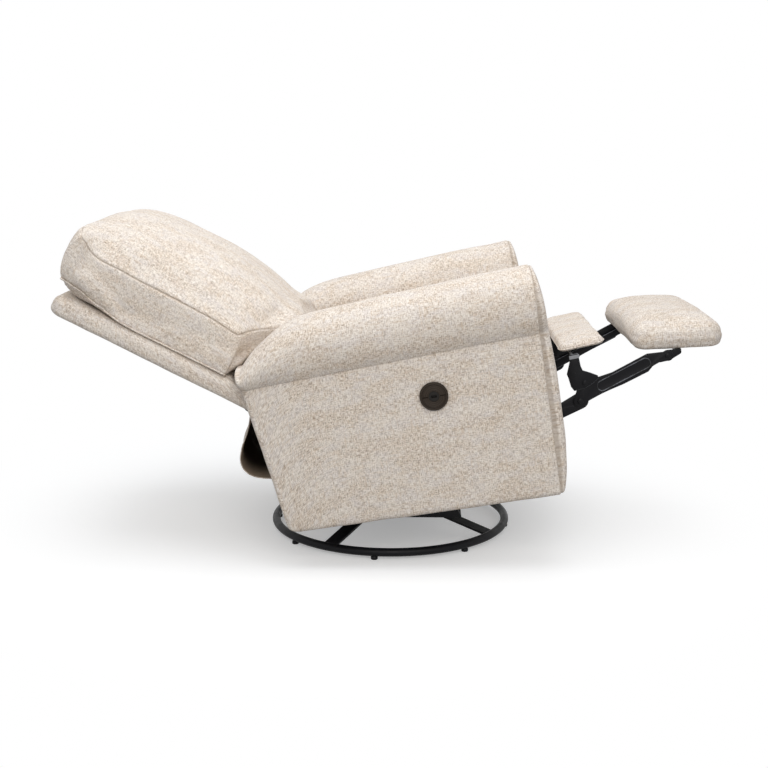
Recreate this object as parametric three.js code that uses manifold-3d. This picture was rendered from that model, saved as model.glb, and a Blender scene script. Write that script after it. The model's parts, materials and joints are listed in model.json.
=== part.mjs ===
// Swivel glider recliner with a power footrest, shown fully reclined.
// Millimetres, +Z up, +X forward. The origin is on the floor, on the swivel axis.
import * as THREE from 'three';
import { mergeVertices } from 'three/addons/utils/BufferGeometryUtils.js';
import Module from 'manifold-3d';

const wasm = await Module();
wasm.setup();

// Clearances
const seatGap = 0.3; // between faces that rest on each other
const boreGap = 0.6; // radial, round a turning pin
const overrun = 2; // how far a cutting tool runs past a face
const weldReach = 1e-4; // points nearer than this are one

// Pose that is modelled
const noseUp = THREE.MathUtils.degToRad(8.9); // tilt of the body when reclined
const reclinedSlope = THREE.MathUtils.degToRad(35.8); // back above the seat, reclined
const footrestTurn = THREE.MathUtils.degToRad(135.5); // inner link, from open to folded
const outerTurn = THREE.MathUtils.degToRad(-10.2); // outer link over the same motion
const padSlope = THREE.MathUtils.degToRad(5.4); // footrest pad, front end low
const flipperSlope = THREE.MathUtils.degToRad(-4.2); // flipper pad, front end high
const flipperTurn = THREE.MathUtils.degToRad(80);

// Floor ring and swivel
const ringRadius = 318;
const ringTube = 11;
const footHeight = 8;
const footRadius = 9;
const footCount = 8;
const footStart = THREE.MathUtils.degToRad(218.6);
const spiderWidth = 38;
const spiderThick = 6;
const spiderCount = 4;
const spiderStart = THREE.MathUtils.degToRad(-30);
const hubRadius = 72;
const hubTop = 70;
const hubThick = 8;
const hubFlat = 34; // level stretch of a bar outside the hub
const cageThick = 8;
const cageWall = 14;
const plateThick = 5;
const plateRear = 165;
const plateFront = 190;

// Glide
const standY = 205; // inner face of a glide stand
const steel = 5; // thickness of the glide and carriage plates
const layerGap = 3; // between neighbouring glide plates
const glideTop = 250; // height of the upper glide pivots
const glideDrop = 130; // length of a glide link between its pivots
const glideFrontX = 100;
const glideRearX = -140;
const postHalf = 22;
const standBand = 45; // height of the stand's lower band
const glideLinkHalf = 14;
const glidePin = 5;
const tiltPivot = { x: -100, z: 160 };
const tiltPin = 10;
const carriageHigh = 28;
const carriageLow = 15;
const carriageEnd = 25;
const crossWide = 50;
const crossHigh = 22;
const crossX = -20;
const crossZ = 158;

// Body panels, in the frame of the upright chair
const bodyBottom = 118;
const bodyFront = 427;
const bottomRear = -96;
const reliefX = -251;
const reliefZ = 146;
const rearLowX = -258.6;
const rearLowZ = 155.5;
const rearHighX = -294;
const rearHighZ = 448;
const seamFrontZ = 523;
const seamRearZ = 491;
const seamRearX = -306;
const innerY = 272; // inner face of an arm
const innerThick = 18;
const outerY = 412; // outer face of an arm
const outerThick = 20;
const rollInnerY = 258;
const rollOuterY = 428;
const crestY = 338;
const frontDepth = 24;
const frontInset = 9;
const rollTip = 17.5; // how far the roll reaches past the seam's rear end
const crestHigh = 161; // crest above the seam at the front
const crestShares = [1, 0.988, 0.944, 0.882, 0.758, 0.547, 0.41, 0.174]; // of crestHigh
const crestStationShares = [0, 0.22, 0.43, 0.64, 0.82, 0.893, 0.94, 1]; // from the front
const waistShare = 0.42; // height of the roll's widest place, of the crest's
const rollPower = 0.9; // below 1 the roll is squarer than an ellipse

// Power control
const controlX = 154;
const controlZ = 412;
const controlRadius = 35;
const controlProud = 6;
const controlRim = 6;
const controlFloor = 2;
const hubOuter = 12.5;
const hubDepth = 14;
const buttonGap = 0.8;
const buttonProud = 5;
const buttonTravel = 1.5;
const socketWide = 14;
const socketHigh = 6.5;
const socketDeep = 8;

// Seat
const railTop = 385;
const railBottom = 355;
const railThick = 22;
const railInset = 18; // front rail behind the front of the side panels
const sideRailRear = -186;
const seatRear = -130;
const seatFront = 440;
const softGap = 10; // between a soft edge and the arm beside it
const seatHalf = innerY - softGap;
const seatBase = railTop + 1;
const seatBoxing = 122;
const seatCrown = 27;
const seatNose = 24;
const seatPull = 6;
const seatRows = 16; // of the cushion's grid
const seatColumns = 12;
const rearRailX = -150;
const lowRailZ = 210;
const lowRailHigh = 40;
const lowRailFront = -236;
const springWire = 2;
const springCount = 3;
const springWaves = 6;
const springSwing = 26;
const springPitch = 130;

// Footrest linkage, in the frame of the upright chair
const hipX = 304.5; // inner link on the rail
const hipZ = 308;
const elbowX = 430; // bend of the inner link
const elbowZ = 279;
const kneeX = 516; // outer link on the inner one
const kneeZ = 311.6;
const toeX = 746.6; // footrest on the outer link
const toeZ = 394.8;
const flipperX = 532.2; // flipper on the outer link
const flipperZ = 357.6;
const linkSteel = 4;
const linkGap = 1;
const railY = 266; // inner face of a mechanism rail
const linkHalf = 16;
const kneeHalf = 21; // inner link at its knee
const knuckle = 17;
const endKnuckle = 13.5;
const linkPin = 6;
const secondReach = -20; // second outer pivot, ahead of the first
const secondDrop = 8;
const secondKnuckle = 12;
const secondPin = 4.5;
const torqueRadius = 9;
const stampHigh = 40; // stamped plate of the outer link
const stampShares = [
  [0, -0.3], [0.13, -0.17], [0.33, -0.23], [0.47, -0.3], [0.75, -0.32], [0.81, -0.15], [0.89, -0.08],
  [1, -0.28], [0.98, 0.34], [0.82, 0.73], [0.42, 0.71], [0.2, 0.93], [0.12, 1.1], [0.04, 0.75],
  [-0.04, 0.3],
]; // along its pivots, of their distance, and up from them, of stampHigh
const slotHalf = 13;
const slotRise = 10; // middle of the pressed slot above the pivots' line
const slotDeep = 1.2;
const slotFromShare = 0.27;
const slotToShare = 0.76;
const crankReach = 45;
const crankHalf = 8;

// Footrest pads, each in its own frame at its pivot
const padRear = -82;
const padFront = 141;
const padBase = 14.7;
const padThick = 58;
const padCrown = 16;
const padHalf = 262;
const frameSteel = 5.7;
const frameCross = 15; // width of the pad frame's cross plate
const flipperRear = -42;
const flipperFront = 72;
const flipperBase = 80.7;
const flipperThick = 18;
const flipperCrown = 5;
const flipperHalf = 229;
const tabRear = -21;
const tabFront = -16;
const tabReach = 42;
const bracketWide = 40; // flipper bracket each way from its pivot
const bracketShares = [
  [0, -0.16], [0.5, -0.06], [0.9, 0.06], [0.88, 0.15], [0.45, 0.29], [0.02, 0.41], [-0.05, 0.56],
  [-0.05, 0.98], [-0.6, 0.98], [-0.68, 0.75], [-1, 0.39], [-0.95, 0.26], [-0.9, -0.03], [-0.75, -0.18],
]; // of bracketWide ahead of the pivot, and of the pad's height above it

// Back, in its own frame: x out of the back's face, z along the back
const backPivot = { x: -168, z: 373.1 };
const shellRear = -37;
const shellFront = 16;
const shellLow = 30;
const shellTop = 696;
const shoulder = 276; // where the back widens above the arms
const wideHalf = 352;
const narrowHalf = 250;
const shellCorner = 34;
const cushionTop = 700;
const cushionHead = 36; // extra reach of the cushion's top edge at its middle
const cushionLow = 176;
const cushionLowFront = 112;
const boxLow = 118; // boxing at the seat end
const boxHigh = 166; // boxing at the head end
const crownPeak = 271;
const crownPeakShare = 0.63; // of the way up the cushion
const backRows = 26; // of the cushion's grid
const backColumns = 18;
const crownLowDrop = 48;
const crownTopDrop = 118;
const bracketY = 238;
const bracketSteel = 5;
const bracketReach = 150;
const bracketHalf = 14;
const reclinePin = 6;

// Cloth flap behind the seat
const flapHalf = innerY - softGap;
const flapThick = 3;
const flapEase = 28; // spacing of the flap's bends
const flapShares = [
  [0, 0.55], [-2, 0.75], [-2.6, 2], [-2, 3.6], [-1, 5.2], [-0.2, 6],
]; // of flapEase, ahead and up from the rear of the low rail

// Power unit
const motorRear = -140;
const motorLength = 95;
const motorHigh = 96;
const motorWide = 84;
const tubeRadius = 15;
const tubeLength = 200;
const rodRadius = 8;
const powerZ = 276;
const rodInset = 70;

const round = 5; // curve steps of plate outlines

// Materials
const metal = (color, roughness) => new THREE.MeshStandardMaterial({ color, roughness, metalness: 0.6 });
const soft = (color) => new THREE.MeshStandardMaterial({ color, roughness: 0.95, metalness: 0 });
const black = metal(0x141416, 0.45);
const bronze = metal(0x3a322a, 0.4);
const zinc = metal(0x8c8f93, 0.35);
const cloth = soft(0xd8cdbd);
const timber = soft(0xb08a5a);
const plastic = soft(0x1b1b1d);

// Geometry helpers
function toSolid(geometry) {
  const bare = geometry.clone();
  bare.deleteAttribute('normal');
  bare.deleteAttribute('uv');
  const merged = mergeVertices(bare, weldReach);
  const mesh = new wasm.Mesh({
    numProp: 3,
    vertProperties: merged.attributes.position.array,
    triVerts: Uint32Array.from(merged.index.array),
  });
  return new wasm.Manifold(mesh);
}

function fromSolid(solid) {
  const mesh = solid.getMesh();
  const geometry = new THREE.BufferGeometry();
  geometry.setAttribute('position', new THREE.BufferAttribute(mesh.vertProperties, 3));
  geometry.setIndex(new THREE.BufferAttribute(mesh.triVerts, 1));
  return geometry;
}

function join(...geometries) {
  return fromSolid(geometries.map(toSolid).reduce((sum, next) => sum.add(next)));
}

function cut(geometry, ...tools) {
  return fromSolid(tools.map(toSolid).reduce((rest, tool) => rest.subtract(tool), toSolid(geometry)));
}

function prism(shape, depth, sideways) {
  const geometry = new THREE.ExtrudeGeometry(shape, { depth, bevelEnabled: false, curveSegments: round });
  const basis = new THREE.Matrix4();
  const ahead = new THREE.Vector3(1, 0, 0);
  const left = new THREE.Vector3(0, 1, 0);
  const up = new THREE.Vector3(0, 0, 1);
  basis.makeBasis(sideways ? ahead : left, up, sideways ? left.clone().negate() : ahead);
  return geometry.applyMatrix4(basis);
}

// Plate with its outline in X and Z, between two Y planes
function plateY(shape, y0, y1) {
  const low = Math.min(y0, y1);
  const high = Math.max(y0, y1);
  return prism(shape, high - low, true).translate(0, high, 0);
}

// Plate with its outline in Y and Z, between two X planes
function plateX(shape, x0, x1) {
  return prism(shape, x1 - x0, false).translate(x0, 0, 0);
}

function polygon(points) {
  return new THREE.Shape(points.map(([a, b]) => new THREE.Vector2(a, b)));
}

function box(x0, x1, y0, y1, z0, z1) {
  const geometry = new THREE.BoxGeometry(x1 - x0, Math.abs(y1 - y0), z1 - z0);
  return geometry.translate((x0 + x1) / 2, (y0 + y1) / 2, (z0 + z1) / 2);
}

function pinY(x, z, y0, y1, radius, sides = 16) {
  const geometry = new THREE.CylinderGeometry(radius, radius, Math.abs(y1 - y0), sides);
  return geometry.translate(x, (y0 + y1) / 2, z);
}

function addHole(shape, p, radius) {
  const hole = new THREE.Path();
  hole.absarc(p.x, p.y, radius, 0, 2 * Math.PI, true);
  shape.holes.push(hole);
  return shape;
}

// Flat link outline: two round ends joined by their outer tangents
function linkShape(p, q, endP, endQ) {
  const heading = Math.atan2(q.y - p.y, q.x - p.x);
  const open = Math.acos((endP - endQ) / p.distanceTo(q));
  const shape = new THREE.Shape();
  shape.absarc(p.x, p.y, endP, heading + open, heading + 2 * Math.PI - open, false);
  shape.absarc(q.x, q.y, endQ, heading - open, heading + open, false);
  return shape;
}

// Closed solid from rings with the same number of points
function loft(rings) {
  const count = rings[0].length;
  const points = rings.flat();
  const faces = [];
  for (let i = 0; i < rings.length - 1; i += 1) {
    for (let j = 0; j < count; j += 1) {
      const a = i * count + j;
      const b = i * count + ((j + 1) % count);
      faces.push(a, b, b + count, a, b + count, a + count);
    }
  }
  const last = (rings.length - 1) * count;
  for (const [start, turn] of [[0, 1], [last, -1]]) {
    const middle = new THREE.Vector3();
    for (let j = 0; j < count; j += 1) {
      middle.add(points[start + j]);
    }
    points.push(middle.divideScalar(count));
    for (let j = 0; j < count; j += 1) {
      const a = start + j;
      const b = start + ((j + 1) % count);
      faces.push(...(turn > 0 ? [b, a, points.length - 1] : [a, b, points.length - 1]));
    }
  }
  return outward(points, faces);
}

// Indexed geometry whose faces point out, whichever way they were listed
function outward(points, faces) {
  let volume = 0;
  for (let i = 0; i < faces.length; i += 3) {
    const [a, b, c] = [points[faces[i]], points[faces[i + 1]], points[faces[i + 2]]];
    volume += a.dot(b.clone().cross(c));
  }
  if (volume < 0) {
    faces.reverse();
  }
  const geometry = new THREE.BufferGeometry().setFromPoints(points);
  geometry.setIndex(faces);
  return geometry;
}

// Cushion from two grids of points, low(u, v) and high(u, v), with u and v from -1 to 1
function cushion(low, high, along, across) {
  const grid = (place) => {
    const points = [];
    for (let i = 0; i <= along; i += 1) {
      for (let j = 0; j <= across; j += 1) {
        points.push(place((2 * i) / along - 1, (2 * j) / across - 1));
      }
    }
    return points;
  };
  const points = [...grid(low), ...grid(high)];
  const lift = points.length / 2;
  const at = (i, j) => i * (across + 1) + j;
  const faces = [];
  for (let i = 0; i < along; i += 1) {
    for (let j = 0; j < across; j += 1) {
      const [a, b, c, d] = [at(i, j), at(i + 1, j), at(i + 1, j + 1), at(i, j + 1)];
      faces.push(a, c, b, a, d, c);
      faces.push(a + lift, b + lift, c + lift, a + lift, c + lift, d + lift);
    }
  }
  const wall = (a, b) => faces.push(a, b, b + lift, a, b + lift, a + lift);
  for (let i = 0; i < along; i += 1) {
    wall(at(i, 0), at(i + 1, 0));
    wall(at(i + 1, across), at(i, across));
  }
  for (let j = 0; j < across; j += 1) {
    wall(at(along, j), at(along, j + 1));
    wall(at(0, j + 1), at(0, j));
  }
  return outward(points, faces);
}

const crownShare = (u, v) => (1 - u ** 4) * (1 - v ** 4);
const hollowShare = (t) => 1 - t * t;

function add(group, name, geometry, material) {
  const mesh = new THREE.Mesh(geometry, material);
  mesh.name = name;
  group.add(mesh);
  return mesh;
}

function child(parent, x, z) {
  const group = new THREE.Group();
  group.position.set(x, 0, z);
  parent.add(group);
  return group;
}

const sides = [[1, 'left'], [-1, 'right']];

// Turns a point about a pivot, front end down
function turned(point, pivot, angle) {
  const dx = point.x - pivot.x;
  const dz = point.y - pivot.y;
  const x = pivot.x + dx * Math.cos(angle) + dz * Math.sin(angle);
  return new THREE.Vector2(x, pivot.y - dx * Math.sin(angle) + dz * Math.cos(angle));
}

// Heights that follow from the driving sizes
const ringZ = footHeight + ringTube;
const cageBottom = hubTop + seatGap;
const plateBottom = cageBottom + cageThick + seatGap;
const plateTop = plateBottom + plateThick;

function makeBase(group) {
  const section = [];
  const sectionSteps = 10;
  for (let i = 0; i <= sectionSteps; i += 1) {
    const turn = (2 * Math.PI * i) / sectionSteps;
    section.push(new THREE.Vector2(ringRadius + ringTube * Math.cos(turn), ringTube * Math.sin(turn)));
  }
  const ring = new THREE.LatheGeometry(section, 64).rotateX(Math.PI / 2).translate(0, 0, ringZ);
  const feet = [];
  for (let i = 0; i < footCount; i += 1) {
    const turn = footStart + (2 * Math.PI * i) / footCount;
    const foot = new THREE.CylinderGeometry(footRadius, footRadius, ringZ, 10).rotateX(Math.PI / 2);
    feet.push(foot.translate(ringRadius * Math.cos(turn), ringRadius * Math.sin(turn), ringZ / 2));
  }
  add(group, 'base_ring', join(ring, ...feet), black);

  const outer = Math.sqrt((ringRadius - ringTube - boreGap) ** 2 - (spiderWidth / 2) ** 2);
  const inner = hubRadius + seatGap;
  const low = ringZ - spiderThick / 2;
  const high = hubTop - hubThick;
  const profile = polygon([
    [inner, high], [inner + hubFlat, high], [outer, low],
    [outer, low + spiderThick], [inner + hubFlat, high + spiderThick], [inner, high + spiderThick],
  ]);
  for (let i = 0; i < spiderCount; i += 1) {
    const bar = plateY(profile, -spiderWidth / 2, spiderWidth / 2);
    bar.rotateZ(spiderStart + (2 * Math.PI * i) / spiderCount);
    add(group, `base_bar_${i + 1}`, bar, black);
  }
  const race = new THREE.CylinderGeometry(hubRadius, hubRadius, hubThick, 32).rotateX(Math.PI / 2);
  // The bars butt against the race, so their square ends clear its rim at the corners
  add(group, 'lower_race', race.translate(0, 0, hubTop - hubThick / 2), black);
}

function makeCage(group) {
  const wall = [
    [hubRadius - cageWall, cageBottom], [hubRadius, cageBottom],
    [hubRadius, cageBottom + cageThick], [hubRadius - cageWall, cageBottom + cageThick],
    [hubRadius - cageWall, cageBottom],
  ].map(([r, z]) => new THREE.Vector2(r, z));
  add(group, 'ball_cage', new THREE.LatheGeometry(wall, 32).rotateX(Math.PI / 2), zinc);
}

function makeTurntable(group) {
  const reach = standY + steel;
  add(group, 'swivel_plate', box(-plateRear, plateFront, -reach, reach, plateBottom, plateTop), black);
  const low = plateTop + seatGap;
  const bandTop = plateBottom + standBand;
  const postTop = glideTop + postHalf;
  const outline = polygon([
    [-plateRear, low], [plateFront, low], [plateFront - standBand / 2, bandTop],
    [glideFrontX + postHalf, bandTop], [glideFrontX + postHalf, postTop],
    [glideFrontX - postHalf, postTop], [glideFrontX - postHalf, bandTop],
    [glideRearX + postHalf, bandTop], [glideRearX + postHalf, postTop],
    [glideRearX - postHalf, postTop], [glideRearX - postHalf, bandTop], [-plateRear, bandTop],
  ]);
  for (const [side, label] of sides) {
    const inner = side * standY;
    const pinEnd = side * (standY + 2 * steel + layerGap);
    const stand = join(
      plateY(outline, inner, inner + side * steel),
      pinY(glideFrontX, glideTop, inner, pinEnd, glidePin),
      pinY(glideRearX, glideTop, inner, pinEnd, glidePin),
    );
    add(group, `glide_stand_${label}`, stand, black);
  }
}

function makeGlideLinks(group, end) {
  const top = new THREE.Vector2(0, 0);
  const low = new THREE.Vector2(0, -glideDrop);
  for (const [side, label] of sides) {
    const shape = linkShape(top, low, glideLinkHalf, glideLinkHalf);
    addHole(shape, top, glidePin + boreGap);
    addHole(shape, low, glidePin + boreGap);
    const inner = side * (standY + steel + layerGap);
    add(group, `glide_link_${end}_${label}`, plateY(shape, inner, inner + side * steel), black);
  }
}

// The carriage's own frame is at the foot of the front glide links
function makeCarriage(group) {
  const rear = glideRearX - glideFrontX;
  const toTilt = new THREE.Vector2(tiltPivot.x - glideFrontX, tiltPivot.z - (glideTop - glideDrop));
  const outline = polygon([
    [rear - carriageEnd, -carriageLow], [carriageEnd, -carriageLow], [carriageEnd, carriageLow],
    [crossX - glideFrontX + crossWide, toTilt.y + carriageLow],
    [toTilt.x, toTilt.y + carriageHigh], [toTilt.x - carriageHigh, toTilt.y + carriageLow],
    [rear - carriageEnd, carriageLow],
  ]);
  addHole(outline, toTilt, tiltPin + boreGap);
  const innerPlane = standY + 2 * (steel + layerGap);
  const crossLow = crossZ - (glideTop - glideDrop) - crossHigh / 2;
  const crossMiddle = crossX - glideFrontX;
  const bodies = [box(
    crossMiddle - crossWide / 2, crossMiddle + crossWide / 2,
    -innerPlane - overrun, innerPlane + overrun, crossLow, crossLow + crossHigh,
  )];
  for (const [side] of sides) {
    const inner = side * innerPlane;
    const pinEnd = side * (innerPlane - layerGap - steel);
    bodies.push(plateY(outline, inner, inner + side * steel));
    bodies.push(pinY(0, 0, inner + side * overrun, pinEnd, glidePin));
    bodies.push(pinY(rear, 0, inner + side * overrun, pinEnd, glidePin));
  }
  add(group, 'glide_carriage', join(...bodies), black);
}

// Height of the seam between the roll and the panels
function seamZ(x) {
  return seamRearZ + ((seamFrontZ - seamRearZ) * (x - seamRearX)) / (bodyFront - seamRearX);
}

// Half of a roll's section, from its inner foot over the crest to its outer foot
function rollSection(x, height) {
  const steps = 8;
  const points = [];
  const bottom = seamZ(x);
  const waist = height * waistShare;
  const quarter = (turn, reach, foot) => {
    const y = crestY + reach * Math.cos(turn) ** rollPower;
    const z = bottom + waist + (height - waist) * Math.sin(turn) ** rollPower;
    return turn === 0 ? [[foot, bottom], [y, bottom + waist]] : [[y, z]];
  };
  for (let i = 0; i < steps; i += 1) {
    points.push(...quarter((Math.PI / 2) * (i / steps), rollOuterY - crestY, outerY));
  }
  points.push([crestY, bottom + height]);
  const inner = [];
  for (let i = 0; i < steps; i += 1) {
    inner.push(...quarter((Math.PI / 2) * (i / steps), rollInnerY - crestY, innerY));
  }
  points.push(...inner.reverse());
  return points;
}

function makeArm(group, side, label) {
  const rings = crestStationShares.map((share, i) => {
    const rear = seamRearX - rollTip;
    const x = bodyFront - seatGap - (bodyFront - seatGap - rear) * share;
    return rollSection(x, crestHigh * crestShares[i]).map(([y, z]) => new THREE.Vector3(x, side * y, z));
  });
  add(group, `arm_roll_${label}`, loft(rings), cloth);

  const outline = polygon([
    [bottomRear, bodyBottom], [bodyFront - seatGap, bodyBottom],
    [bodyFront - seatGap, seamFrontZ - seatGap], [seamRearX, seamRearZ - seatGap],
    [rearHighX, rearHighZ], [rearLowX, rearLowZ], [reliefX, reliefZ],
  ]);
  const outer = plateY(outline, side * (outerY - outerThick), side * outerY);
  const socket = pinY(
    controlX, controlZ, side * (outerY - outerThick - overrun), side * (outerY + overrun),
    hubOuter + boreGap, 24,
  );
  add(group, `side_panel_${label}`, side < 0 ? cut(outer, socket) : outer, cloth);
  const inner = plateY(outline, side * innerY, side * (innerY + innerThick));
  add(group, `inner_panel_${label}`, inner, cloth);

  const face = [[innerY, bodyBottom], [outerY, bodyBottom], ...rollSection(bodyFront, crestHigh)];
  const centreY = (innerY + outerY) / 2;
  const centreZ = (bodyBottom + seamFrontZ) / 2;
  const inset = (x, margin) => face.map(([y, z]) => {
    const pullY = Math.sign(y - centreY) * Math.min(margin, Math.abs(y - centreY));
    const pullZ = Math.sign(z - centreZ) * Math.min(margin, Math.abs(z - centreZ));
    return new THREE.Vector3(x, side * (y - pullY), z - pullZ);
  });
  const bulge = [
    inset(bodyFront, 0), inset(bodyFront + frontDepth / 2, 0),
    inset(bodyFront + frontDepth, frontInset),
  ];
  add(group, `front_panel_${label}`, loft(bulge), cloth);
}

function makeControl(group) {
  const face = -outerY;
  const back = face - seatGap;
  const front = back - controlProud;
  const floor = back - controlFloor;
  const disc = pinY(controlX, controlZ, back, front, controlRadius, 40);
  const well = pinY(controlX, controlZ, floor, front - overrun, controlRadius - controlRim, 36);
  const bore = pinY(controlX, controlZ, back + overrun, front - overrun, hubOuter + boreGap, 24);
  add(group, 'switch_bezel', cut(disc, well, bore), bronze);

  const hub = pinY(controlX, controlZ, back + hubDepth, front - seatGap, hubOuter, 24);
  const slot = box(
    controlX - socketWide / 2, controlX + socketWide / 2, front - seatGap - overrun,
    front - seatGap + socketDeep, controlZ - socketHigh / 2, controlZ + socketHigh / 2,
  );
  add(group, 'usb_port', cut(hub, slot), plastic);

  const inner = hubOuter + buttonGap;
  const outer = controlRadius - controlRim - buttonGap;
  const seat = floor - seatGap - buttonTravel;
  for (const [up, label] of [[1, 'recline'], [-1, 'close']]) {
    const shape = new THREE.Shape();
    const trim = buttonGap / inner;
    const from = up > 0 ? trim : Math.PI + trim;
    const to = from + Math.PI - 2 * trim;
    shape.absarc(controlX, controlZ, outer, from, to, false);
    shape.absarc(controlX, controlZ, inner, to, from, true);
    const button = plateY(shape, seat, floor - buttonProud);
    add(group, `button_${label}`, button, bronze);
  }
}

function makeSeat(group) {
  const edge = innerY - seatGap;
  const inner = edge - railThick;
  const front = bodyFront - frontDepth - railInset;
  add(group, 'seat_rail_front', box(front - railThick, front, -edge, edge, railBottom, railTop), timber);
  const rearEnd = rearRailX + railThick;
  const rearRail = box(rearRailX, rearEnd, -inner + seatGap, inner - seatGap, railBottom, railTop);
  add(group, 'seat_rail_rear', rearRail, timber);
  const railEnd = front - railThick - seatGap;
  for (const [side, label] of sides) {
    const rail = box(sideRailRear, railEnd, side * inner, side * edge, railBottom, railTop);
    const bore = pinY(
      backPivot.x, backPivot.z - overrun, side * (inner - overrun), side * (edge + overrun),
      reclinePin + boreGap,
    );
    bore.translate(0, 0, overrun);
    add(group, `seat_rail_${label}`, cut(rail, bore), timber);
  }
  const low = box(
    lowRailFront - railThick, lowRailFront, -edge, edge, lowRailZ, lowRailZ + lowRailHigh,
  );
  add(group, 'low_rear_rail', low, timber);

  const wireZ = railTop - springWire - seatGap;
  const from = rearEnd + springWire;
  const run = front - railThick - springWire - from;
  for (let i = 0; i < springCount; i += 1) {
    const y = (i - (springCount - 1) / 2) * springPitch;
    const path = [];
    const steps = springWaves * 4;
    for (let j = 0; j <= steps; j += 1) {
      const sway = Math.sin((2 * Math.PI * springWaves * j) / steps) * springSwing;
      path.push(new THREE.Vector3(from + (run * j) / steps, y + sway, wireZ));
    }
    const section = new THREE.Shape();
    section.absarc(0, 0, springWire, 0, 2 * Math.PI, false);
    const wire = new THREE.ExtrudeGeometry(section, {
      steps: steps * 3, curveSegments: 3, bevelEnabled: false,
      extrudePath: new THREE.CatmullRomCurve3(path),
    });
    add(group, `seat_spring_${i + 1}`, wire, zinc);
  }

  const middle = (seatFront + seatRear) / 2;
  const reach = (seatFront - seatRear) / 2;
  const place = (u, v, z) => new THREE.Vector3(
    middle + reach * u, v * (seatHalf - seatPull * hollowShare(u)), z,
  );
  const bottom = (u, v) => place(u, v, seatBase);
  const top = (u, v) => place(
    u, v, seatBase + seatBoxing + seatCrown * crownShare(u, v) - seatNose * Math.max(u, 0) ** 8,
  );
  const body = cushion(bottom, top, seatRows, seatColumns);
  // The front wall bulges past the boxing at half height
  const nosePoints = [];
  const noseSteps = 8;
  for (let i = 0; i <= noseSteps; i += 1) {
    const turn = -Math.PI / 2 + (Math.PI * i) / noseSteps;
    const half = (seatBoxing - seatNose) / 2;
    nosePoints.push([
      seatFront - seatPull + (seatNose + seatPull) * Math.cos(turn),
      seatBase + half + half * Math.sin(turn),
    ]);
  }
  const noseEdge = seatHalf - seatPull;
  const nose = plateY(polygon(nosePoints), -noseEdge, noseEdge);
  add(group, 'seat_cushion', join(body, nose), cloth);
}

function makeFlap(group) {
  const line = new THREE.CatmullRomCurve3([
    new THREE.Vector3(lowRailFront - railThick - seatGap, 0, lowRailZ + 3 * flapThick),
    ...flapShares.map(([ahead, up]) => new THREE.Vector3(
      rearHighX + ahead * flapEase, 0, lowRailZ + up * flapEase,
    )),
  ]);
  const outer = [];
  const inner = [];
  const steps = 20;
  for (let i = 0; i <= steps; i += 1) {
    const p = line.getPoint(i / steps);
    const t = line.getTangent(i / steps);
    outer.push([p.x + (t.z * flapThick) / 2, p.z - (t.x * flapThick) / 2]);
    inner.unshift([p.x - (t.z * flapThick) / 2, p.z + (t.x * flapThick) / 2]);
  }
  add(group, 'rear_flap', plateY(polygon([...outer, ...inner]), -flapHalf, flapHalf), cloth);
}

function makeMechanismRails(group) {
  const top = railBottom - seatGap;
  for (const [side, label] of sides) {
    const inner = side * railY;
    const outline = polygon([
      [sideRailRear, top], [sideRailRear, top - railThick], [tiltPivot.x - 2 * tiltPin, tiltPivot.z],
      [tiltPivot.x - tiltPin, tiltPivot.z - 2 * tiltPin], [tiltPivot.x + tiltPin, tiltPivot.z - 2 * tiltPin],
      [tiltPivot.x + 3 * tiltPin, hipPoint.y - 2 * tiltPin],
      [hipPoint.x + 2 * tiltPin, hipPoint.y - 2 * tiltPin], [hipPoint.x + 4 * tiltPin, top - railThick],
      [hipPoint.x + 4 * tiltPin, top],
    ]);
    addHole(outline, hipPoint, torqueRadius + boreGap);
    const plate = plateY(outline, inner, inner + side * linkSteel);
    const flange = box(
      sideRailRear, hipPoint.x + 4 * tiltPin, inner, side * (innerY - seatGap), top - linkSteel, top,
    );
    const tiltEnd = side * (standY + 2 * (steel + layerGap));
    const rail = join(
      plate, flange, pinY(tiltPivot.x, tiltPivot.z, inner + side * overrun, tiltEnd, tiltPin),
    );
    add(group, `mechanism_rail_${label}`, rail, black);
  }
}

// Inner face of a link layer, counted inwards from the rail
function layerY(index) {
  return railY - index * (linkSteel + linkGap);
}

function linkPlate(shape, side, index) {
  const inner = side * layerY(index);
  return plateY(shape, inner, inner + side * linkSteel);
}

// Linkage points that follow from the driving points
const hipPoint = new THREE.Vector2(hipX, hipZ);
const elbowPoint = new THREE.Vector2(elbowX, elbowZ);
const kneePoint = new THREE.Vector2(kneeX, kneeZ);
const toePoint = new THREE.Vector2(toeX, toeZ);
const flipperPoint = new THREE.Vector2(flipperX, flipperZ);
const foldedKnee = turned(kneePoint, hipPoint, footrestTurn);
const foldedToe = turned(toePoint, kneePoint, outerTurn).add(foldedKnee).sub(kneePoint);
const padTurn = Math.PI / 2 - padSlope;
const secondToe = turned(new THREE.Vector2(toeX + secondReach, toeZ - secondDrop), toePoint, padSlope);
const foldedSecondToe = turned(secondToe, toePoint, padTurn).add(foldedToe).sub(toePoint);
const armHeading = kneePoint.clone().sub(elbowPoint).normalize();
const foldedHeading = turned(armHeading, new THREE.Vector2(), footrestTurn);
const openSpan = kneePoint.clone().sub(secondToe);
const foldedSpan = foldedKnee.clone().sub(foldedSecondToe);
const spur = (foldedSpan.lengthSq() - openSpan.lengthSq())
  / (2 * (armHeading.dot(openSpan) - foldedHeading.dot(foldedSpan)));
const secondKnee = kneePoint.clone().addScaledVector(armHeading, spur);
const foldedSecondKnee = foldedKnee.clone().addScaledVector(foldedHeading, spur);

const angleOf = (a, b) => Math.atan2(b.y - a.y, b.x - a.x);
const wrap = (angle) => Math.atan2(Math.sin(angle), Math.cos(angle));
const outerTurn2 = -wrap(angleOf(foldedSecondKnee, foldedSecondToe) - angleOf(secondKnee, secondToe));

const origin = new THREE.Vector2();
const local = (p, pivot) => p.clone().sub(pivot);

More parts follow.
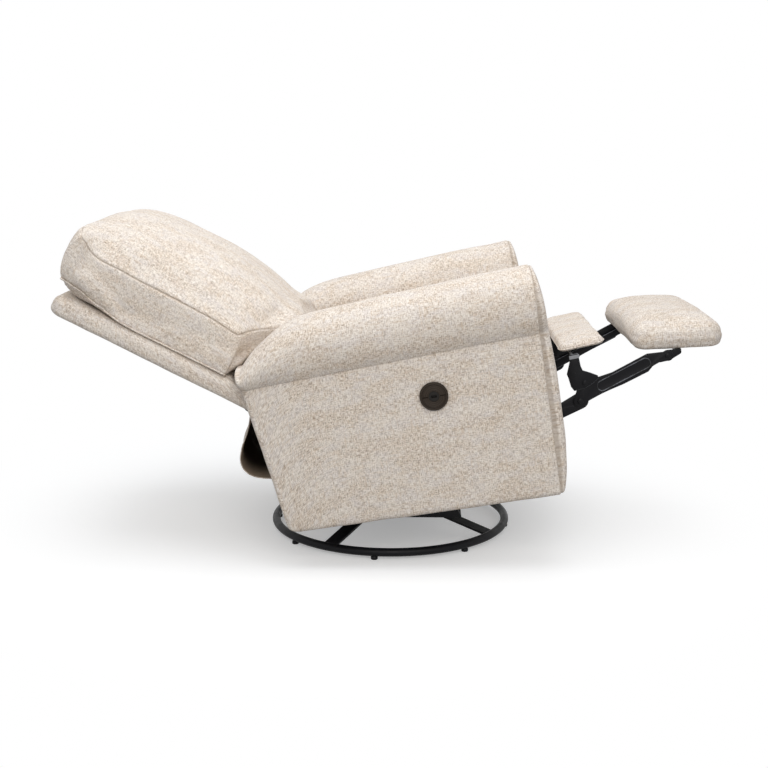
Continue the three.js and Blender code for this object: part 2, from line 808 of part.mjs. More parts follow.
function makeInnerLinks(group) {
  const knee = local(kneePoint, hipPoint);
  const bend = local(elbowPoint, hipPoint);
  const tip = local(secondKnee, hipPoint);
  for (const [side, label] of sides) {
    const bore = pinY(knee.x, knee.y, side * layerY(1), side * layerY(3), linkPin + boreGap);
    const hub = pinY(0, 0, side * layerY(1), side * layerY(3), torqueRadius + seatGap);
    const link = join(
      linkPlate(linkShape(origin, bend, knuckle, linkHalf), side, 2),
      linkPlate(linkShape(bend, knee, linkHalf, kneeHalf), side, 2),
      linkPlate(linkShape(knee, tip, kneeHalf, secondKnuckle), side, 2),
    );
    const tipBore = pinY(tip.x, tip.y, side * layerY(1), side * layerY(3), secondPin + boreGap);
    add(group, `inner_link_${label}`, cut(link, bore, tipBore, hub), black);
  }
  const tube = pinY(0, 0, -railY - linkSteel, railY + linkSteel, torqueRadius, 20);
  const crankEnd = new THREE.Vector2(crankReach, -crankReach).multiplyScalar(Math.SQRT1_2);
  const crank = plateY(linkShape(origin, crankEnd, torqueRadius + linkPin, crankHalf), -steel / 2, steel / 2);
  add(group, 'torque_tube', join(tube, crank), black);
}

function makeOuterLinks(group) {
  const tip = local(toePoint, kneePoint);
  const flipper = local(flipperPoint, kneePoint);
  const up = new THREE.Vector2(-tip.y, tip.x).normalize();
  const along = (share, rise) => tip.clone().multiplyScalar(share).addScaledVector(up, rise);
  const stamp = new THREE.Shape(stampShares.map(([share, rise]) => along(share, rise * stampHigh)));
  for (const [side, label] of sides) {
    const plates = [
      linkPlate(stamp, side, 1),
      linkPlate(linkShape(origin, flipper, knuckle, endKnuckle), side, 1),
      pinY(tip.x, tip.y, side * layerY(1), side * (layerY(1) + linkSteel), endKnuckle),
      pinY(0, 0, side * (layerY(1) + overrun), side * layerY(2), linkPin),
    ];
    const bores = [tip, flipper].map((p) => pinY(
      p.x, p.y, side * (layerY(0) - linkGap / 2), side * layerY(2), linkPin + boreGap,
    ));
    const outerFace = layerY(1) + linkSteel;
    const slotShape = linkShape(
      along(slotFromShare, slotRise), along(slotToShare, slotRise), slotHalf, slotHalf,
    );
    bores.push(plateY(slotShape, side * (outerFace - slotDeep), side * (outerFace + linkGap / 2)));
    add(group, `outer_link_${label}`, cut(join(...plates), ...bores), black);
  }
}

function makeSecondOuterLinks(group) {
  const end = local(secondToe, secondKnee);
  for (const [side, label] of sides) {
    const shape = linkShape(origin, end, secondKnuckle, secondKnuckle - layerGap);
    const rivet = pinY(0, 0, side * (layerY(3) + overrun), side * (layerY(2) + linkSteel), secondPin);
    add(group, `rear_outer_link_${label}`, join(linkPlate(shape, side, 3), rivet), black);
  }
}

function makePad(group) {
  const frameTop = padBase - seatGap;
  const second = turned(secondToe, toePoint, -padSlope).sub(toePoint);
  const crossFrom = linkHalf + layerGap;
  const bodies = [box(
    crossFrom, crossFrom + frameCross, -layerY(2) - overrun, layerY(2) + overrun,
    frameTop - frameSteel, frameTop,
  )];
  for (const [side] of sides) {
    const far = new THREE.Vector2(crossFrom + frameCross - endKnuckle / 2, frameTop - endKnuckle / 2);
    bodies.push(linkPlate(linkShape(origin, far, endKnuckle, endKnuckle / 2), side, 2));
    bodies.push(linkPlate(linkShape(origin, second, endKnuckle, secondKnuckle - layerGap), side, 2));
    bodies.push(pinY(0, 0, side * (layerY(2) + overrun), side * (layerY(1) + linkSteel), linkPin));
  }
  add(group, 'footrest_frame', join(...bodies), black);
  add(group, 'footrest_pad', padSolid(padRear, padFront, padBase, padThick, padCrown, padHalf), cloth);
}

// Upholstered pad: flat board below, rounded edges and a crown above
function padSolid(rear, front, base, thick, crown, half) {
  const middle = (rear + front) / 2;
  const reach = (front - rear) / 2;
  const ease = thick / 3;
  const low = (u, v) => new THREE.Vector3(middle + (reach - ease) * u, (half - ease) * v, base);
  const high = (u, v) => {
    const bulge = ease * hollowShare(u * u) * hollowShare(v * v);
    return new THREE.Vector3(
      middle + (reach - ease / 3) * u, (half - ease / 3) * v,
      base + thick + crown * crownShare(u, v) - ease + bulge,
    );
  };
  const rings = [];
  const steps = 5;
  const body = cushion(low, high, 10, 12);
  for (let i = 0; i <= steps; i += 1) {
    const turn = (Math.PI * i) / steps - Math.PI / 2;
    const out = ease * Math.cos(turn);
    const z = base + thick / 2 - ease / 2 + (thick / 2 - ease / 2) * Math.sin(turn);
    const shareX = reach - ease + out;
    const shareY = half - ease + out;
    const ring = [];
    const corner = 6;
    for (let j = 0; j < 4 * corner; j += 1) {
      const around = (2 * Math.PI * (j + 0.5)) / (4 * corner);
      const square = (value, size, keep) => Math.sign(value) * (size - keep + keep * Math.abs(value));
      ring.push(new THREE.Vector3(
        middle + square(Math.cos(around), shareX, ease), square(Math.sin(around), shareY, ease), z,
      ));
    }
    rings.push(ring);
  }
  return join(body, loft(rings));
}

function makeFlipper(group) {
  const tabTop = flipperBase - seatGap;
  const bodies = [];
  const crossHalf = railY - tabReach;
  const outline = polygon(bracketShares.map(([a, b]) => [a * bracketWide, b * tabTop]));
  bodies.push(box(tabRear, tabFront, -crossHalf - overrun, crossHalf + overrun, tabTop - linkSteel, tabTop));
  for (const [side] of sides) {
    bodies.push(linkPlate(outline, side, 0));
    const seat = side * (layerY(0) + linkSteel / 2);
    bodies.push(box(tabRear, tabFront, side * crossHalf, seat, tabTop - linkSteel, tabTop));
    bodies.push(pinY(0, 0, side * (layerY(0) + overrun), side * layerY(1), linkPin));
  }
  add(group, 'flipper_frame', join(...bodies), black);
  const pad = padSolid(
    flipperRear, flipperFront, flipperBase, flipperThick, flipperCrown, flipperHalf,
  );
  add(group, 'flipper_pad', pad, cloth);
}

function backWidth(s) {
  const blend = THREE.MathUtils.smoothstep(s, shoulder - shellCorner / 2, shoulder);
  return narrowHalf + (wideHalf - narrowHalf) * blend;
}

function makeBack(group) {
  const half = wideHalf;
  const shape = new THREE.Shape();
  shape.moveTo(-narrowHalf, shellLow);
  shape.lineTo(narrowHalf, shellLow);
  shape.lineTo(narrowHalf, shoulder - shellCorner / 2);
  shape.lineTo(half, shoulder);
  shape.lineTo(half, shellTop - shellCorner);
  shape.absarc(half - shellCorner, shellTop - shellCorner, shellCorner, 0, Math.PI / 2, false);
  shape.absarc(-half + shellCorner, shellTop - shellCorner, shellCorner, Math.PI / 2, Math.PI, false);
  shape.lineTo(-half, shoulder);
  shape.lineTo(-narrowHalf, shoulder - shellCorner / 2);
  add(group, 'back_shell', plateX(shape, shellRear, shellFront), cloth);

  const place = (u, v, from, n, head) => {
    const share = (u + 1) / 2;
    const top = cushionTop + head * hollowShare(v * v);
    const s = from + (top - from) * share;
    const half2 = backWidth(s) - seatPull * hollowShare(u);
    return new THREE.Vector3(n, v * half2, s);
  };
  const low = (u, v) => place(u, v, cushionLow, shellFront + seatGap, 0);
  const high = (u, v) => {
    const share = (u + 1) / 2;
    const edge = boxLow + (boxHigh - boxLow) * share ** 3;
    const below = Math.max(0, crownPeakShare - share) / crownPeakShare;
    const above = Math.max(0, share - crownPeakShare) / (1 - crownPeakShare);
    const peak = crownPeak - crownLowDrop * below ** 2 - crownTopDrop * above ** 2.7;
    return place(u, v, cushionLowFront, edge + (peak - edge) * (1 - Math.abs(v) ** 3), cushionHead);
  };
  add(group, 'back_cushion', cushion(low, high, backRows, backColumns), cloth);

  for (const [side, label] of sides) {
    const inner = side * bracketY;
    const end = new THREE.Vector2(shellRear - bracketHalf - seatGap, bracketReach);
    const start = new THREE.Vector2(shellRear - bracketHalf - seatGap, 0);
    const arm = join(
      plateY(linkShape(origin, start, bracketHalf, bracketHalf), inner, inner + side * bracketSteel),
      plateY(linkShape(start, end, bracketHalf, bracketHalf), inner, inner + side * bracketSteel),
      pinY(0, 0, inner + side * overrun, side * (innerY - railThick), reclinePin),
    );
    add(group, `recline_bracket_${label}`, arm, black);
  }
}

function makePower(group) {
  const motorFront = motorRear + motorLength;
  const top = railBottom - seatGap;
  const housing = box(motorRear, motorFront, -motorWide / 2, motorWide / 2, top - motorHigh, top);
  add(group, 'motor_housing', housing, plastic);
  const tubeStart = motorFront + seatGap;
  const along = (x0, x1, radius) => {
    const bar = new THREE.CylinderGeometry(radius, radius, x1 - x0, 16).rotateZ(Math.PI / 2);
    return bar.translate((x0 + x1) / 2, 0, powerZ);
  };
  const tube = cut(
    along(tubeStart, tubeStart + tubeLength, tubeRadius),
    along(tubeStart + 2 * tubeRadius, tubeStart + tubeLength + overrun, rodRadius + boreGap),
  );
  add(group, 'actuator_tube', tube, zinc);
  return tubeStart + tubeLength;
}

function makeRod(group, tubeEnd) {
  const tip = hipPoint.x + crankHalf / 2;
  const rod = new THREE.CylinderGeometry(rodRadius, rodRadius, tip - tubeEnd + rodInset, 16);
  rod.rotateZ(Math.PI / 2).translate((tip + tubeEnd - rodInset) / 2, 0, powerZ);
  add(group, 'actuator_rod', rod, zinc);
}

const recliner = new THREE.Group();
makeBase(recliner);
const cage = child(recliner, 0, 0);
makeCage(cage);
const turntable = child(recliner, 0, 0);
makeTurntable(turntable);
const rearLinks = child(turntable, glideRearX, glideTop);
makeGlideLinks(rearLinks, 'rear');
const frontLinks = child(turntable, glideFrontX, glideTop);
makeGlideLinks(frontLinks, 'front');
const carriage = child(frontLinks, 0, -glideDrop);
makeCarriage(carriage);

// The tilting body is drawn level and then turned nose up about the tilt pivot
const tilt = child(carriage, tiltPivot.x - glideFrontX, tiltPivot.z - (glideTop - glideDrop));
tilt.rotation.y = -noseUp;
const chassis = child(tilt, -tiltPivot.x, -tiltPivot.z);
for (const [side, label] of sides) {
  makeArm(chassis, side, label);
}
makeControl(chassis);
makeSeat(chassis);
makeFlap(chassis);
makeMechanismRails(chassis);
const tubeEnd = makePower(chassis);
const rodSlide = child(chassis, 0, 0);
makeRod(rodSlide, tubeEnd);

const back = child(chassis, backPivot.x, backPivot.z);
back.rotation.y = reclinedSlope - Math.PI / 2;
makeBack(back);

const innerArm = child(chassis, hipPoint.x, hipPoint.y);
makeInnerLinks(innerArm);
const outerArm = child(innerArm, kneePoint.x - hipPoint.x, kneePoint.y - hipPoint.y);
makeOuterLinks(outerArm);
const secondOuter = child(innerArm, secondKnee.x - hipPoint.x, secondKnee.y - hipPoint.y);
makeSecondOuterLinks(secondOuter);
const padArm = child(outerArm, toePoint.x - kneePoint.x, toePoint.y - kneePoint.y);
padArm.rotation.y = padSlope;
makePad(padArm);
const flipperArm = child(outerArm, flipperPoint.x - kneePoint.x, flipperPoint.y - kneePoint.y);
flipperArm.rotation.y = flipperSlope;
makeFlipper(flipperArm);

// Turns that the footrest's pieces make from open to folded, in radians
recliner.userData = { padTurn, flipperTurn, footrestTurn, outerTurn, outerTurn2 };

export default recliner;
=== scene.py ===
"""Looks of the swivel glider recliner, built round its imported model.

Sizes are in millimetres in the part's own axes and become metres where a mesh is made.
Local axes: x runs forward, or out of the face of the back, y to the sitter's left, z up, or along the back.
"""
import json
import math
from contextlib import contextmanager

import bmesh
import bpy
import numpy as np
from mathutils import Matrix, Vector, noise


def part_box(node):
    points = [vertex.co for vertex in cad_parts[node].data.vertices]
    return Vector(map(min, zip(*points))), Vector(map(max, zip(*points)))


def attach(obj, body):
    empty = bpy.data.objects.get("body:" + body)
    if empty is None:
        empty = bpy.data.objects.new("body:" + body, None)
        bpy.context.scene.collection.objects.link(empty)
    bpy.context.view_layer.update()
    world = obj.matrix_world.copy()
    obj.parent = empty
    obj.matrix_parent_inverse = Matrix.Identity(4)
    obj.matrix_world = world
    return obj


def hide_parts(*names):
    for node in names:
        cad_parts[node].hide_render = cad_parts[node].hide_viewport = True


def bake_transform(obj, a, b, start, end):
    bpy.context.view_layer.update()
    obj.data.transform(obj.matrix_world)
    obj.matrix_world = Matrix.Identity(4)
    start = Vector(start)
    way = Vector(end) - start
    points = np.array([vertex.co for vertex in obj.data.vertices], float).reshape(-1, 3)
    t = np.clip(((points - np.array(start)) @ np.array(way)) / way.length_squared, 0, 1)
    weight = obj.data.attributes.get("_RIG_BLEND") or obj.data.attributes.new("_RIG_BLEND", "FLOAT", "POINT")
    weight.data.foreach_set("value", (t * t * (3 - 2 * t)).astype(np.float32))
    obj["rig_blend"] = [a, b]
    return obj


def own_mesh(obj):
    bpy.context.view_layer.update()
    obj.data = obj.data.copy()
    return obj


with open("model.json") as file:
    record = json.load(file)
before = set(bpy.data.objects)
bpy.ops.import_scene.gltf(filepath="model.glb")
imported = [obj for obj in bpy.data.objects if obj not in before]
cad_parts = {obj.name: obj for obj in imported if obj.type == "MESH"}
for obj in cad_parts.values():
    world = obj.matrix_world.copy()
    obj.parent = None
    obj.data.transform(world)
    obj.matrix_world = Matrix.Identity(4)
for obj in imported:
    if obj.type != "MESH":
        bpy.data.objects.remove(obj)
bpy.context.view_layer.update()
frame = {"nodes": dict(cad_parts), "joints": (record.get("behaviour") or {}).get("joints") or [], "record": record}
MM = 0.001
WELD = 0.03
SIDES = ((-1, "right"), (1, "left"))


class Axes:
    """Axes of a body in the X-Z plane: an origin in metres and a turn, nose up, in degrees."""

    def __init__(self, x, z, turn):
        angle = math.radians(turn)
        self.origin = np.array([x, 0.0, z])
        self.x = np.array([math.cos(angle), 0.0, math.sin(angle)])
        self.z = np.array([-math.sin(angle), 0.0, math.cos(angle)])
        self.y = np.array([0.0, 1.0, 0.0])

    def world(self, points):
        """World places, in metres, of local points in millimetres."""
        p = np.asarray(points, float) * MM
        return self.origin + p[..., 0:1] * self.x + p[..., 1:2] * self.y + p[..., 2:3] * self.z


# Poses of the bodies in the photograph, nose-up turns in degrees
NOSE_UP = 8.9
BACK_TURN = 63.1
PAD_TURN = 3.5
FLIPPER_TURN = 13.1
LEVEL = Axes(0.02355, 0.01740, NOSE_UP)
BACK = Axes(-0.20015, 0.36001, BACK_TURN)
PAD = Axes(0.70008, 0.52295, PAD_TURN)
FLIPPER = Axes(0.49402, 0.45303, FLIPPER_TURN)

# Arms and body panels, in the level axes
BODY_BOTTOM = 118
BODY_FRONT = 427
SEAM_FRONT_Z = 523
SEAM_REAR_Z = 491
SEAM_REAR_X = -306
REAR_LOW_X = -251
OUTER_Y = 412
INNER_Y = 277
ROLL_OUTER_Y = 434
ROLL_INNER_Y = 256
CREST_Y = 338
ROLL_TIP = 11
WAIST_SHARE = 0.42
CREST_SHARES = [0, 0.22, 0.43, 0.64, 0.72, 0.78, 0.84, 0.893, 0.94, 1]
CREST_HEIGHTS = [161, 159, 155, 151, 148, 141, 126, 102, 75, 14]
FRONT_HEIGHTS = [118, 140, 190, 290, 400, 500, 600, 650, 684]
FRONT_DEPTHS = [9, 14, 22, 28, 28, 22, 18, 13, 7]

# Seat cushion, in the level axes
SEAT_REAR = -130
SEAT_FRONT = 440
SEAT_HALF = 262
SEAT_BASE = 386
SEAT_BOXING = 122
SEAT_CROWN = 27
SEAT_NOSE = 20
SEAT_SINK = 22

# Back, in the back's axes
SHELL_REAR = -37
SHELL_FRONT = 16
SHELL_LOW = 30
SHELL_TOP = 696
SHOULDER = 276
WIDE_HALF = 352
NARROW_HALF = 250
SHELL_CORNER = 34
WING_LOW = 136
WING_LOW_FRONT = 210

# Control on the near arm, in the level axes
CONTROL_X = 154
CONTROL_Z = 412

# Flap of cloth under the back, in the level axes
FLAP_HALF = 262

# Base
RING_RADIUS = 318
RING_TUBE = 11
RING_Z = 19
FOOT_START = 218.6
FOOT_COUNT = 8
FOOT = [(0, 0), (8, 0), (8.8, 0.8), (9, 2), (9, 7), (7, 9.5), (0, 9.5)]


def smooth_curve(xs, ys, x):
    """Smooth curve through points, without overshoot between them."""
    xs, ys, x = (np.asarray(v, float) for v in (xs, ys, x))
    step = np.diff(xs)
    rise = np.diff(ys) / step
    slope = np.concatenate([[rise[0]], (rise[:-1] + rise[1:]) / 2, [rise[-1]]])
    flat = np.concatenate([[False], rise[:-1] * rise[1:] <= 0, [False]])
    slope[flat] = 0
    i = np.clip(np.searchsorted(xs, x) - 1, 0, len(step) - 1)
    t = np.clip((x - xs[i]) / step[i], 0, 1)
    a, b = ys[i], ys[i + 1]
    m, n = slope[i] * step[i], slope[i + 1] * step[i]
    return (
        a * (1 + 2 * t) * (1 - t) ** 2 + m * t * (1 - t) ** 2
        + b * t * t * (3 - 2 * t) - n * t * t * (1 - t)
    )


def spline_weights(count, places):
    """Rows of Catmull-Rom weights that read a grid line of count points at fractional places."""
    rows = np.zeros((len(places), count))
    for row, place in zip(rows, places):
        i = min(max(int(place), 0), count - 2)
        t = place - i
        shares = (
            (-t + 2 * t * t - t ** 3) / 2, (2 - 5 * t * t + 3 * t ** 3) / 2,
            (t + 4 * t * t - 3 * t ** 3) / 2, (t ** 3 - t * t) / 2,
        )
        for offset, share in zip((-1, 0, 1, 2), shares):
            row[min(max(i + offset, 0), count - 1)] += share
    return rows


def run_along(points, unit=1.0):
    """Distance travelled along a line of points, at each of them, in a unit."""
    return np.concatenate([[0], np.cumsum(np.linalg.norm(np.diff(points, axis=0), axis=1))]) / unit


def smooth_line(points, pieces):
    """Smooth line through points given as (x, z), cut into even pieces."""
    line = np.array(points, float)
    return spline_weights(len(line), np.linspace(0, len(line) - 1, pieces + 1)) @ line


def cloth_places(down, over, shift):
    """Places on the cloth in metres, of a grid with these distances in millimetres, moved by a shift."""
    return np.stack(np.meshgrid(down, over, indexing="ij"), -1)[..., ::-1] * MM + shift


def numbered(rows, columns, start=0):
    """Grid of the numbers of its points, from start on."""
    return np.arange(rows * columns).reshape(rows, columns) + start


def quads(index):
    """Faces between the points of a grid of numbers."""
    return np.stack([index[:-1, :-1], index[1:, :-1], index[1:, 1:], index[:-1, 1:]], -1).reshape(-1, 4)


def between(start, end, shares):
    """Grid of points between two lines of points."""
    return start[:, None, :] + (end - start)[:, None, :] * shares[None, :, None]


def groove(distance, width):
    """Share of a seam's full depth at a distance from it."""
    return np.exp(-((np.asarray(distance, float) / width) ** 2))


def new_object(name, mesh):
    """Object of a mesh, in the scene."""
    obj = bpy.data.objects.new(name, mesh)
    bpy.context.scene.collection.objects.link(obj)
    return obj


@contextmanager
def editing(mesh, source=None):
    """Opens a mesh, or a source to write into it, as a bmesh and writes it back."""
    bm = bmesh.new()
    bm.from_mesh(source or mesh)
    yield bm
    bm.to_mesh(mesh)
    bm.free()


def finish_piece(piece, body, nodes=()):
    """Rides a piece on a body and hides the nodes that it replaces."""
    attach(piece, body)
    if nodes:
        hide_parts(*nodes)


class Sewn:
    """Grids of points that are welded into one mesh. Each point has a place on the cloth and a depth by
    which a seam draws it in, the one in metres and the other in millimetres."""

    def __init__(self):
        self.points, self.faces, self.places, self.depths = [], [], [], []
        self.count = 0

    def add(self, points, places, depths=None):
        rows, columns = points.shape[:2]
        self.faces.append(quads(numbered(rows, columns, self.count)))
        self.points.append(points.reshape(-1, 3))
        self.places.append(np.asarray(places, float).reshape(-1, 2))
        self.depths.append(np.zeros(rows * columns) if depths is None else np.ravel(depths) * MM)
        self.count += rows * columns

    def build(self, name, material, lumps=()):
        """The welded object. lumps are (height in mm, size in m) of noise along the normal."""
        points, faces = np.vstack(self.points), np.vstack(self.faces)
        places, depths = np.vstack(self.places), np.concatenate(self.depths)
        mesh = bpy.data.meshes.new(name)
        mesh.from_pydata(points.tolist(), [], faces.tolist())
        layer = mesh.uv_layers.new(name="weave")
        layer.data.foreach_set("uv", places[faces.reshape(-1)].astype(np.float32).reshape(-1))
        # This depth also masks the painted shade in the seams of the fabric.
        drawn = mesh.attributes.new("drawn", "FLOAT", "POINT")
        drawn.data.foreach_set("value", depths.astype(np.float32))
        with editing(mesh) as bm:
            bmesh.ops.remove_doubles(bm, verts=bm.verts, dist=WELD * MM)
            bmesh.ops.dissolve_degenerate(bm, edges=bm.edges, dist=WELD / 3 * MM)
            bmesh.ops.recalc_face_normals(bm, faces=bm.faces)
            bm.normal_update()
            depth = bm.verts.layers.float["drawn"]
            moves = []
            for vert in bm.verts:
                out = -vert[depth]
                for height, size in lumps:
                    out += height * MM * noise.noise(Vector(vert.co) / size)
                moves.append(vert.normal * out)
            for vert, move in zip(bm.verts, moves):
                vert.co += move
            for face in bm.faces:
                face.smooth = True
        mesh.materials.append(material)
        return new_object(name, mesh)


def joined(name, parts, material):
    """One object from several meshes given as (vertices in metres, faces)."""
    vertices, faces = [], []
    for points, corners in parts:
        start = len(vertices)
        vertices.extend(np.asarray(points, float).tolist())
        faces.extend([[i + start for i in face] for face in corners])
    mesh = bpy.data.meshes.new(name)
    mesh.from_pydata(vertices, [], faces)
    mesh.materials.append(material)
    with editing(mesh) as bm:
        bmesh.ops.recalc_face_normals(bm, faces=bm.faces)
        for face in bm.faces:
            face.smooth = True
    return new_object(name, mesh)


def sharpen(obj, degrees):
    """Keeps edges that turn by more than an angle crisp, and shades the rest smooth."""
    for polygon in obj.data.polygons:
        polygon.use_smooth = True
    obj.data.set_sharp_from_angle(angle=math.radians(degrees))


# Materials


class Nodes:
    """Short calls for building a node tree of a material or a world."""

    def __init__(self, owner, output):
        owner.use_nodes = True
        self.tree = owner.node_tree
        self.tree.nodes.clear()
        self.output = self.tree.nodes.new(output)

    def node(self, kind, sockets=(), **values):
        """A new node. sockets are (socket, value or link), and values are the node's own settings."""
        made = self.tree.nodes.new(kind)
        for key, value in values.items():
            setattr(made, key, value)
        for socket, value in sockets:
            self.put(made, socket, value)
        return made

    def link(self, start, end):
        self.tree.links.new(start, end)

    def put(self, node, socket, value):
        if isinstance(value, bpy.types.NodeSocket):
            self.link(value, node.inputs[socket])
        else:
            node.inputs[socket].default_value = value

    def math(self, kind, a, b=0.0):
        return self.node("ShaderNodeMath", [(0, a), (1, b)], operation=kind).outputs[0]

    def seen(self):
        """1 where the camera or a reflection sees the surface, 0 where light only bounces off it."""
        path = self.node("ShaderNodeLightPath").outputs
        return self.math("MAXIMUM", path["Is Camera Ray"], path["Is Glossy Ray"])

    def choose(self, share, a, b):
        return self.node("ShaderNodeMixShader", [(0, share), (1, a), (2, b)]).outputs[0]


class Shader(Nodes):
    """Node material with a Principled surface."""

    def __init__(self, name):
        self.material = bpy.data.materials.get(name) or bpy.data.materials.new(name)
        super().__init__(self.material, "ShaderNodeOutputMaterial")
        self.surface = self.node("ShaderNodeBsdfPrincipled")
        self.link(self.surface.outputs[0], self.output.inputs[0])
        self.place = self.node("ShaderNodeTexCoord").outputs["Object"]

    def noise(self, vector, scale, detail=2.0, rough=0.5, flat=True):
        sockets = [("Vector", vector), ("Scale", scale), ("Detail", detail), ("Roughness", rough)]
        made = self.node("ShaderNodeTexNoise", sockets, noise_dimensions="2D" if flat else "3D")
        return made.outputs["Fac"]

    def cloud(self, scale, detail=3.0, rough=0.6):
        """Noise in space, at places on the object in metres."""
        return self.noise(self.place, scale, detail, rough, flat=False)

    def stretched(self, vector, x, y):
        return self.node("ShaderNodeMapping", [("Vector", vector), ("Scale", (x, y, 1))]).outputs["Vector"]

    def reach(self, centre):
        """Distance from a place on the object."""
        moved = self.node("ShaderNodeVectorMath", [(0, self.place), (1, centre)], operation="SUBTRACT")
        length = self.node("ShaderNodeVectorMath", [(0, moved.outputs[0])], operation="LENGTH")
        return length.outputs["Value"]

    def ramp(self, value, low, high, start=0.0, end=1.0):
        names = ("Value", "From Min", "From Max", "To Min", "To Max")
        sockets = zip(names, (value, low, high, start, end))
        made = self.node("ShaderNodeMapRange", sockets, interpolation_type="SMOOTHSTEP")
        return made.outputs["Result"]

    def mix(self, share, a, b):
        return self.node("ShaderNodeMix", data_type="RGBA", sockets=[
            ("Factor", share), (6, a), (7, b),
        ]).outputs[2]

    def bump(self, height, distance, strength):
        sockets = [("Height", height), ("Distance", distance), ("Strength", strength)]
        return self.node("ShaderNodeBump", sockets).outputs["Normal"]

    def set(self, **values):
        """Sockets of the surface by name, with underscores for spaces."""
        for key, value in values.items():
            self.put(self.surface, key.replace("_", " "), value)


def colour(red, green, blue):
    """Linear colour of an sRGB one, given as 0 to 255."""
    def linear(value):
        share = value / 255
        return share / 12.92 if share <= 0.04045 else ((share + 0.055) / 1.055) ** 2.4
    return (linear(red), linear(green), linear(blue), 1.0)


def make_fabric():
    """Chenille tweed: oatmeal ground, faint grey and tan patches, flecks along both threads, and painted shade in
    the seams.
    """
    s = Shader("upholstery")
    place = s.node("ShaderNodeUVMap", uv_map="weave").outputs["UV"]
    oatmeal, grey = colour(224, 214, 203), colour(217, 208, 201)
    tan, brown, pale = colour(208, 188, 166), colour(150, 134, 118), colour(246, 239, 230)
    patches = s.ramp(s.noise(s.stretched(place, 1.0, 1.6), 24, 2.0, 0.5), 0.40, 0.64)
    warm = s.ramp(s.noise(s.stretched(place, 0.6, 1.4), 15, 4.0, 0.62), 0.44, 0.62)
    ground = s.mix(patches, oatmeal, grey)
    weft = s.noise(s.stretched(place, 92, 500), 1.0, 1.5, 0.55)
    warp = s.noise(s.stretched(place, 500, 100), 1.0, 1.5, 0.55)
    speck = s.noise(place, 300, 2.0, 0.7)
    tone = s.mix(s.math("MULTIPLY", warm, 0.48), ground, tan)
    long_weft = s.noise(s.stretched(place, 20, 190), 1.0)
    long_warp = s.noise(s.stretched(place, 190, 26), 1.0)
    slubs = s.math("MAXIMUM", long_weft, long_warp)
    tone = s.mix(s.ramp(slubs, 0.56, 0.74, 0.0, 0.60), tone, tan)
    dark = s.ramp(s.math("MAXIMUM", weft, warp), 0.55, 0.72)
    more = s.math("ADD", s.math("MULTIPLY", warm, 0.22), 0.55)
    tone = s.mix(s.math("MULTIPLY", dark, more), tone, brown)
    light = s.ramp(s.math("MINIMUM", weft, warp), 0.46, 0.30)
    tone = s.mix(s.math("MULTIPLY", light, 0.75), tone, pale)
    # Painted shade: the cloth darkens toward brown where a seam or the control draws it in.
    drawn = s.node("ShaderNodeAttribute", attribute_name="drawn").outputs["Fac"]
    tone = s.mix(s.ramp(drawn, 0.0010, 0.0034, 0.0, 0.50), tone, brown)
    height = s.math("ADD", s.math("MULTIPLY", s.math("SUBTRACT", light, dark), 0.6), speck)
    s.set(Base_Color=tone, Normal=s.bump(height, 0.0016, 0.38))
    s.set(Roughness=0.92, Sheen_Weight=0.10, Sheen_Roughness=0.5)
    s.set(Sheen_Tint=(1.0, 0.97, 0.93, 1.0), Specular_IOR_Level=0.15)
    return s.material


def make_painted_flap_shade():
    """Painted shade on the back of the rear flap's cloth: dark inside the body, painted lighter toward its two
    open ends.
    """
    s = Shader("flap_inside_painted_shade")
    grain = s.cloud(900, 2.0)
    across = s.node("ShaderNodeSeparateXYZ", [(0, s.place)]).outputs["Y"]
    # Painted shade: dark deep inside the body, lighter toward the open ends, where light reaches in.
    open_end = s.ramp(s.math("ABSOLUTE", across), 0.10, FLAP_HALF * MM)
    inside = s.mix(grain, colour(34, 26, 20), colour(56, 45, 36))
    s.set(Base_Color=s.mix(open_end, inside, colour(172, 155, 138)), Roughness=0.95)
    s.set(Normal=s.bump(grain, 0.0006, 0.5), Specular_IOR_Level=0.1)
    return s.material


def make_black_steel():
    """Satin black enamel on stamped steel, worn thin in small spots."""
    s = Shader("black_steel")
    cloud = s.cloud(22)
    grit = s.cloud(700, 2.0)
    worn = s.ramp(s.cloud(160, rough=0.7), 0.66, 0.74)
    tone = s.mix(cloud, colour(8, 8, 10), colour(19, 19, 23))
    tone = s.mix(s.math("MULTIPLY", worn, 0.25), tone, colour(64, 64, 68))
    s.set(Base_Color=tone, Roughness=s.ramp(cloud, 0.3, 0.7, 0.36, 0.50), Metallic=0.0)
    s.set(Normal=s.bump(grit, 0.00025, 0.5), Specular_IOR_Level=0.16)
    return s.material


def make_painted_edge_highlight():
    """Satin black enamel with a painted highlight, a soft grey, along its edges."""
    s = Shader("painted_edge_highlight")
    cloud = s.cloud(45)
    # Painted highlight: grey that stands in for light caught along the rounded edges.
    tone = s.mix(s.ramp(cloud, 0.38, 0.62), colour(24, 25, 28), colour(92, 94, 101))
    s.set(Base_Color=tone, Roughness=s.ramp(cloud, 0.3, 0.7, 0.30, 0.42), Specular_IOR_Level=0.4)
    return s.material


def make_bright_steel():
    """Zinc-plated steel of rivets, springs and small tabs."""
    s = Shader("bright_steel")
    cloud = s.cloud(60)
    scratch = s.noise(s.stretched(s.place, 40, 900), 1.0, 3.0, 0.6, flat=False)
    s.set(Base_Color=s.mix(cloud, colour(104, 105, 108), colour(146, 147, 150)), Metallic=0.9)
    s.set(Roughness=s.ramp(cloud, 0.3, 0.7, 0.28, 0.42), Normal=s.bump(scratch, 0.0002, 0.4))
    return s.material


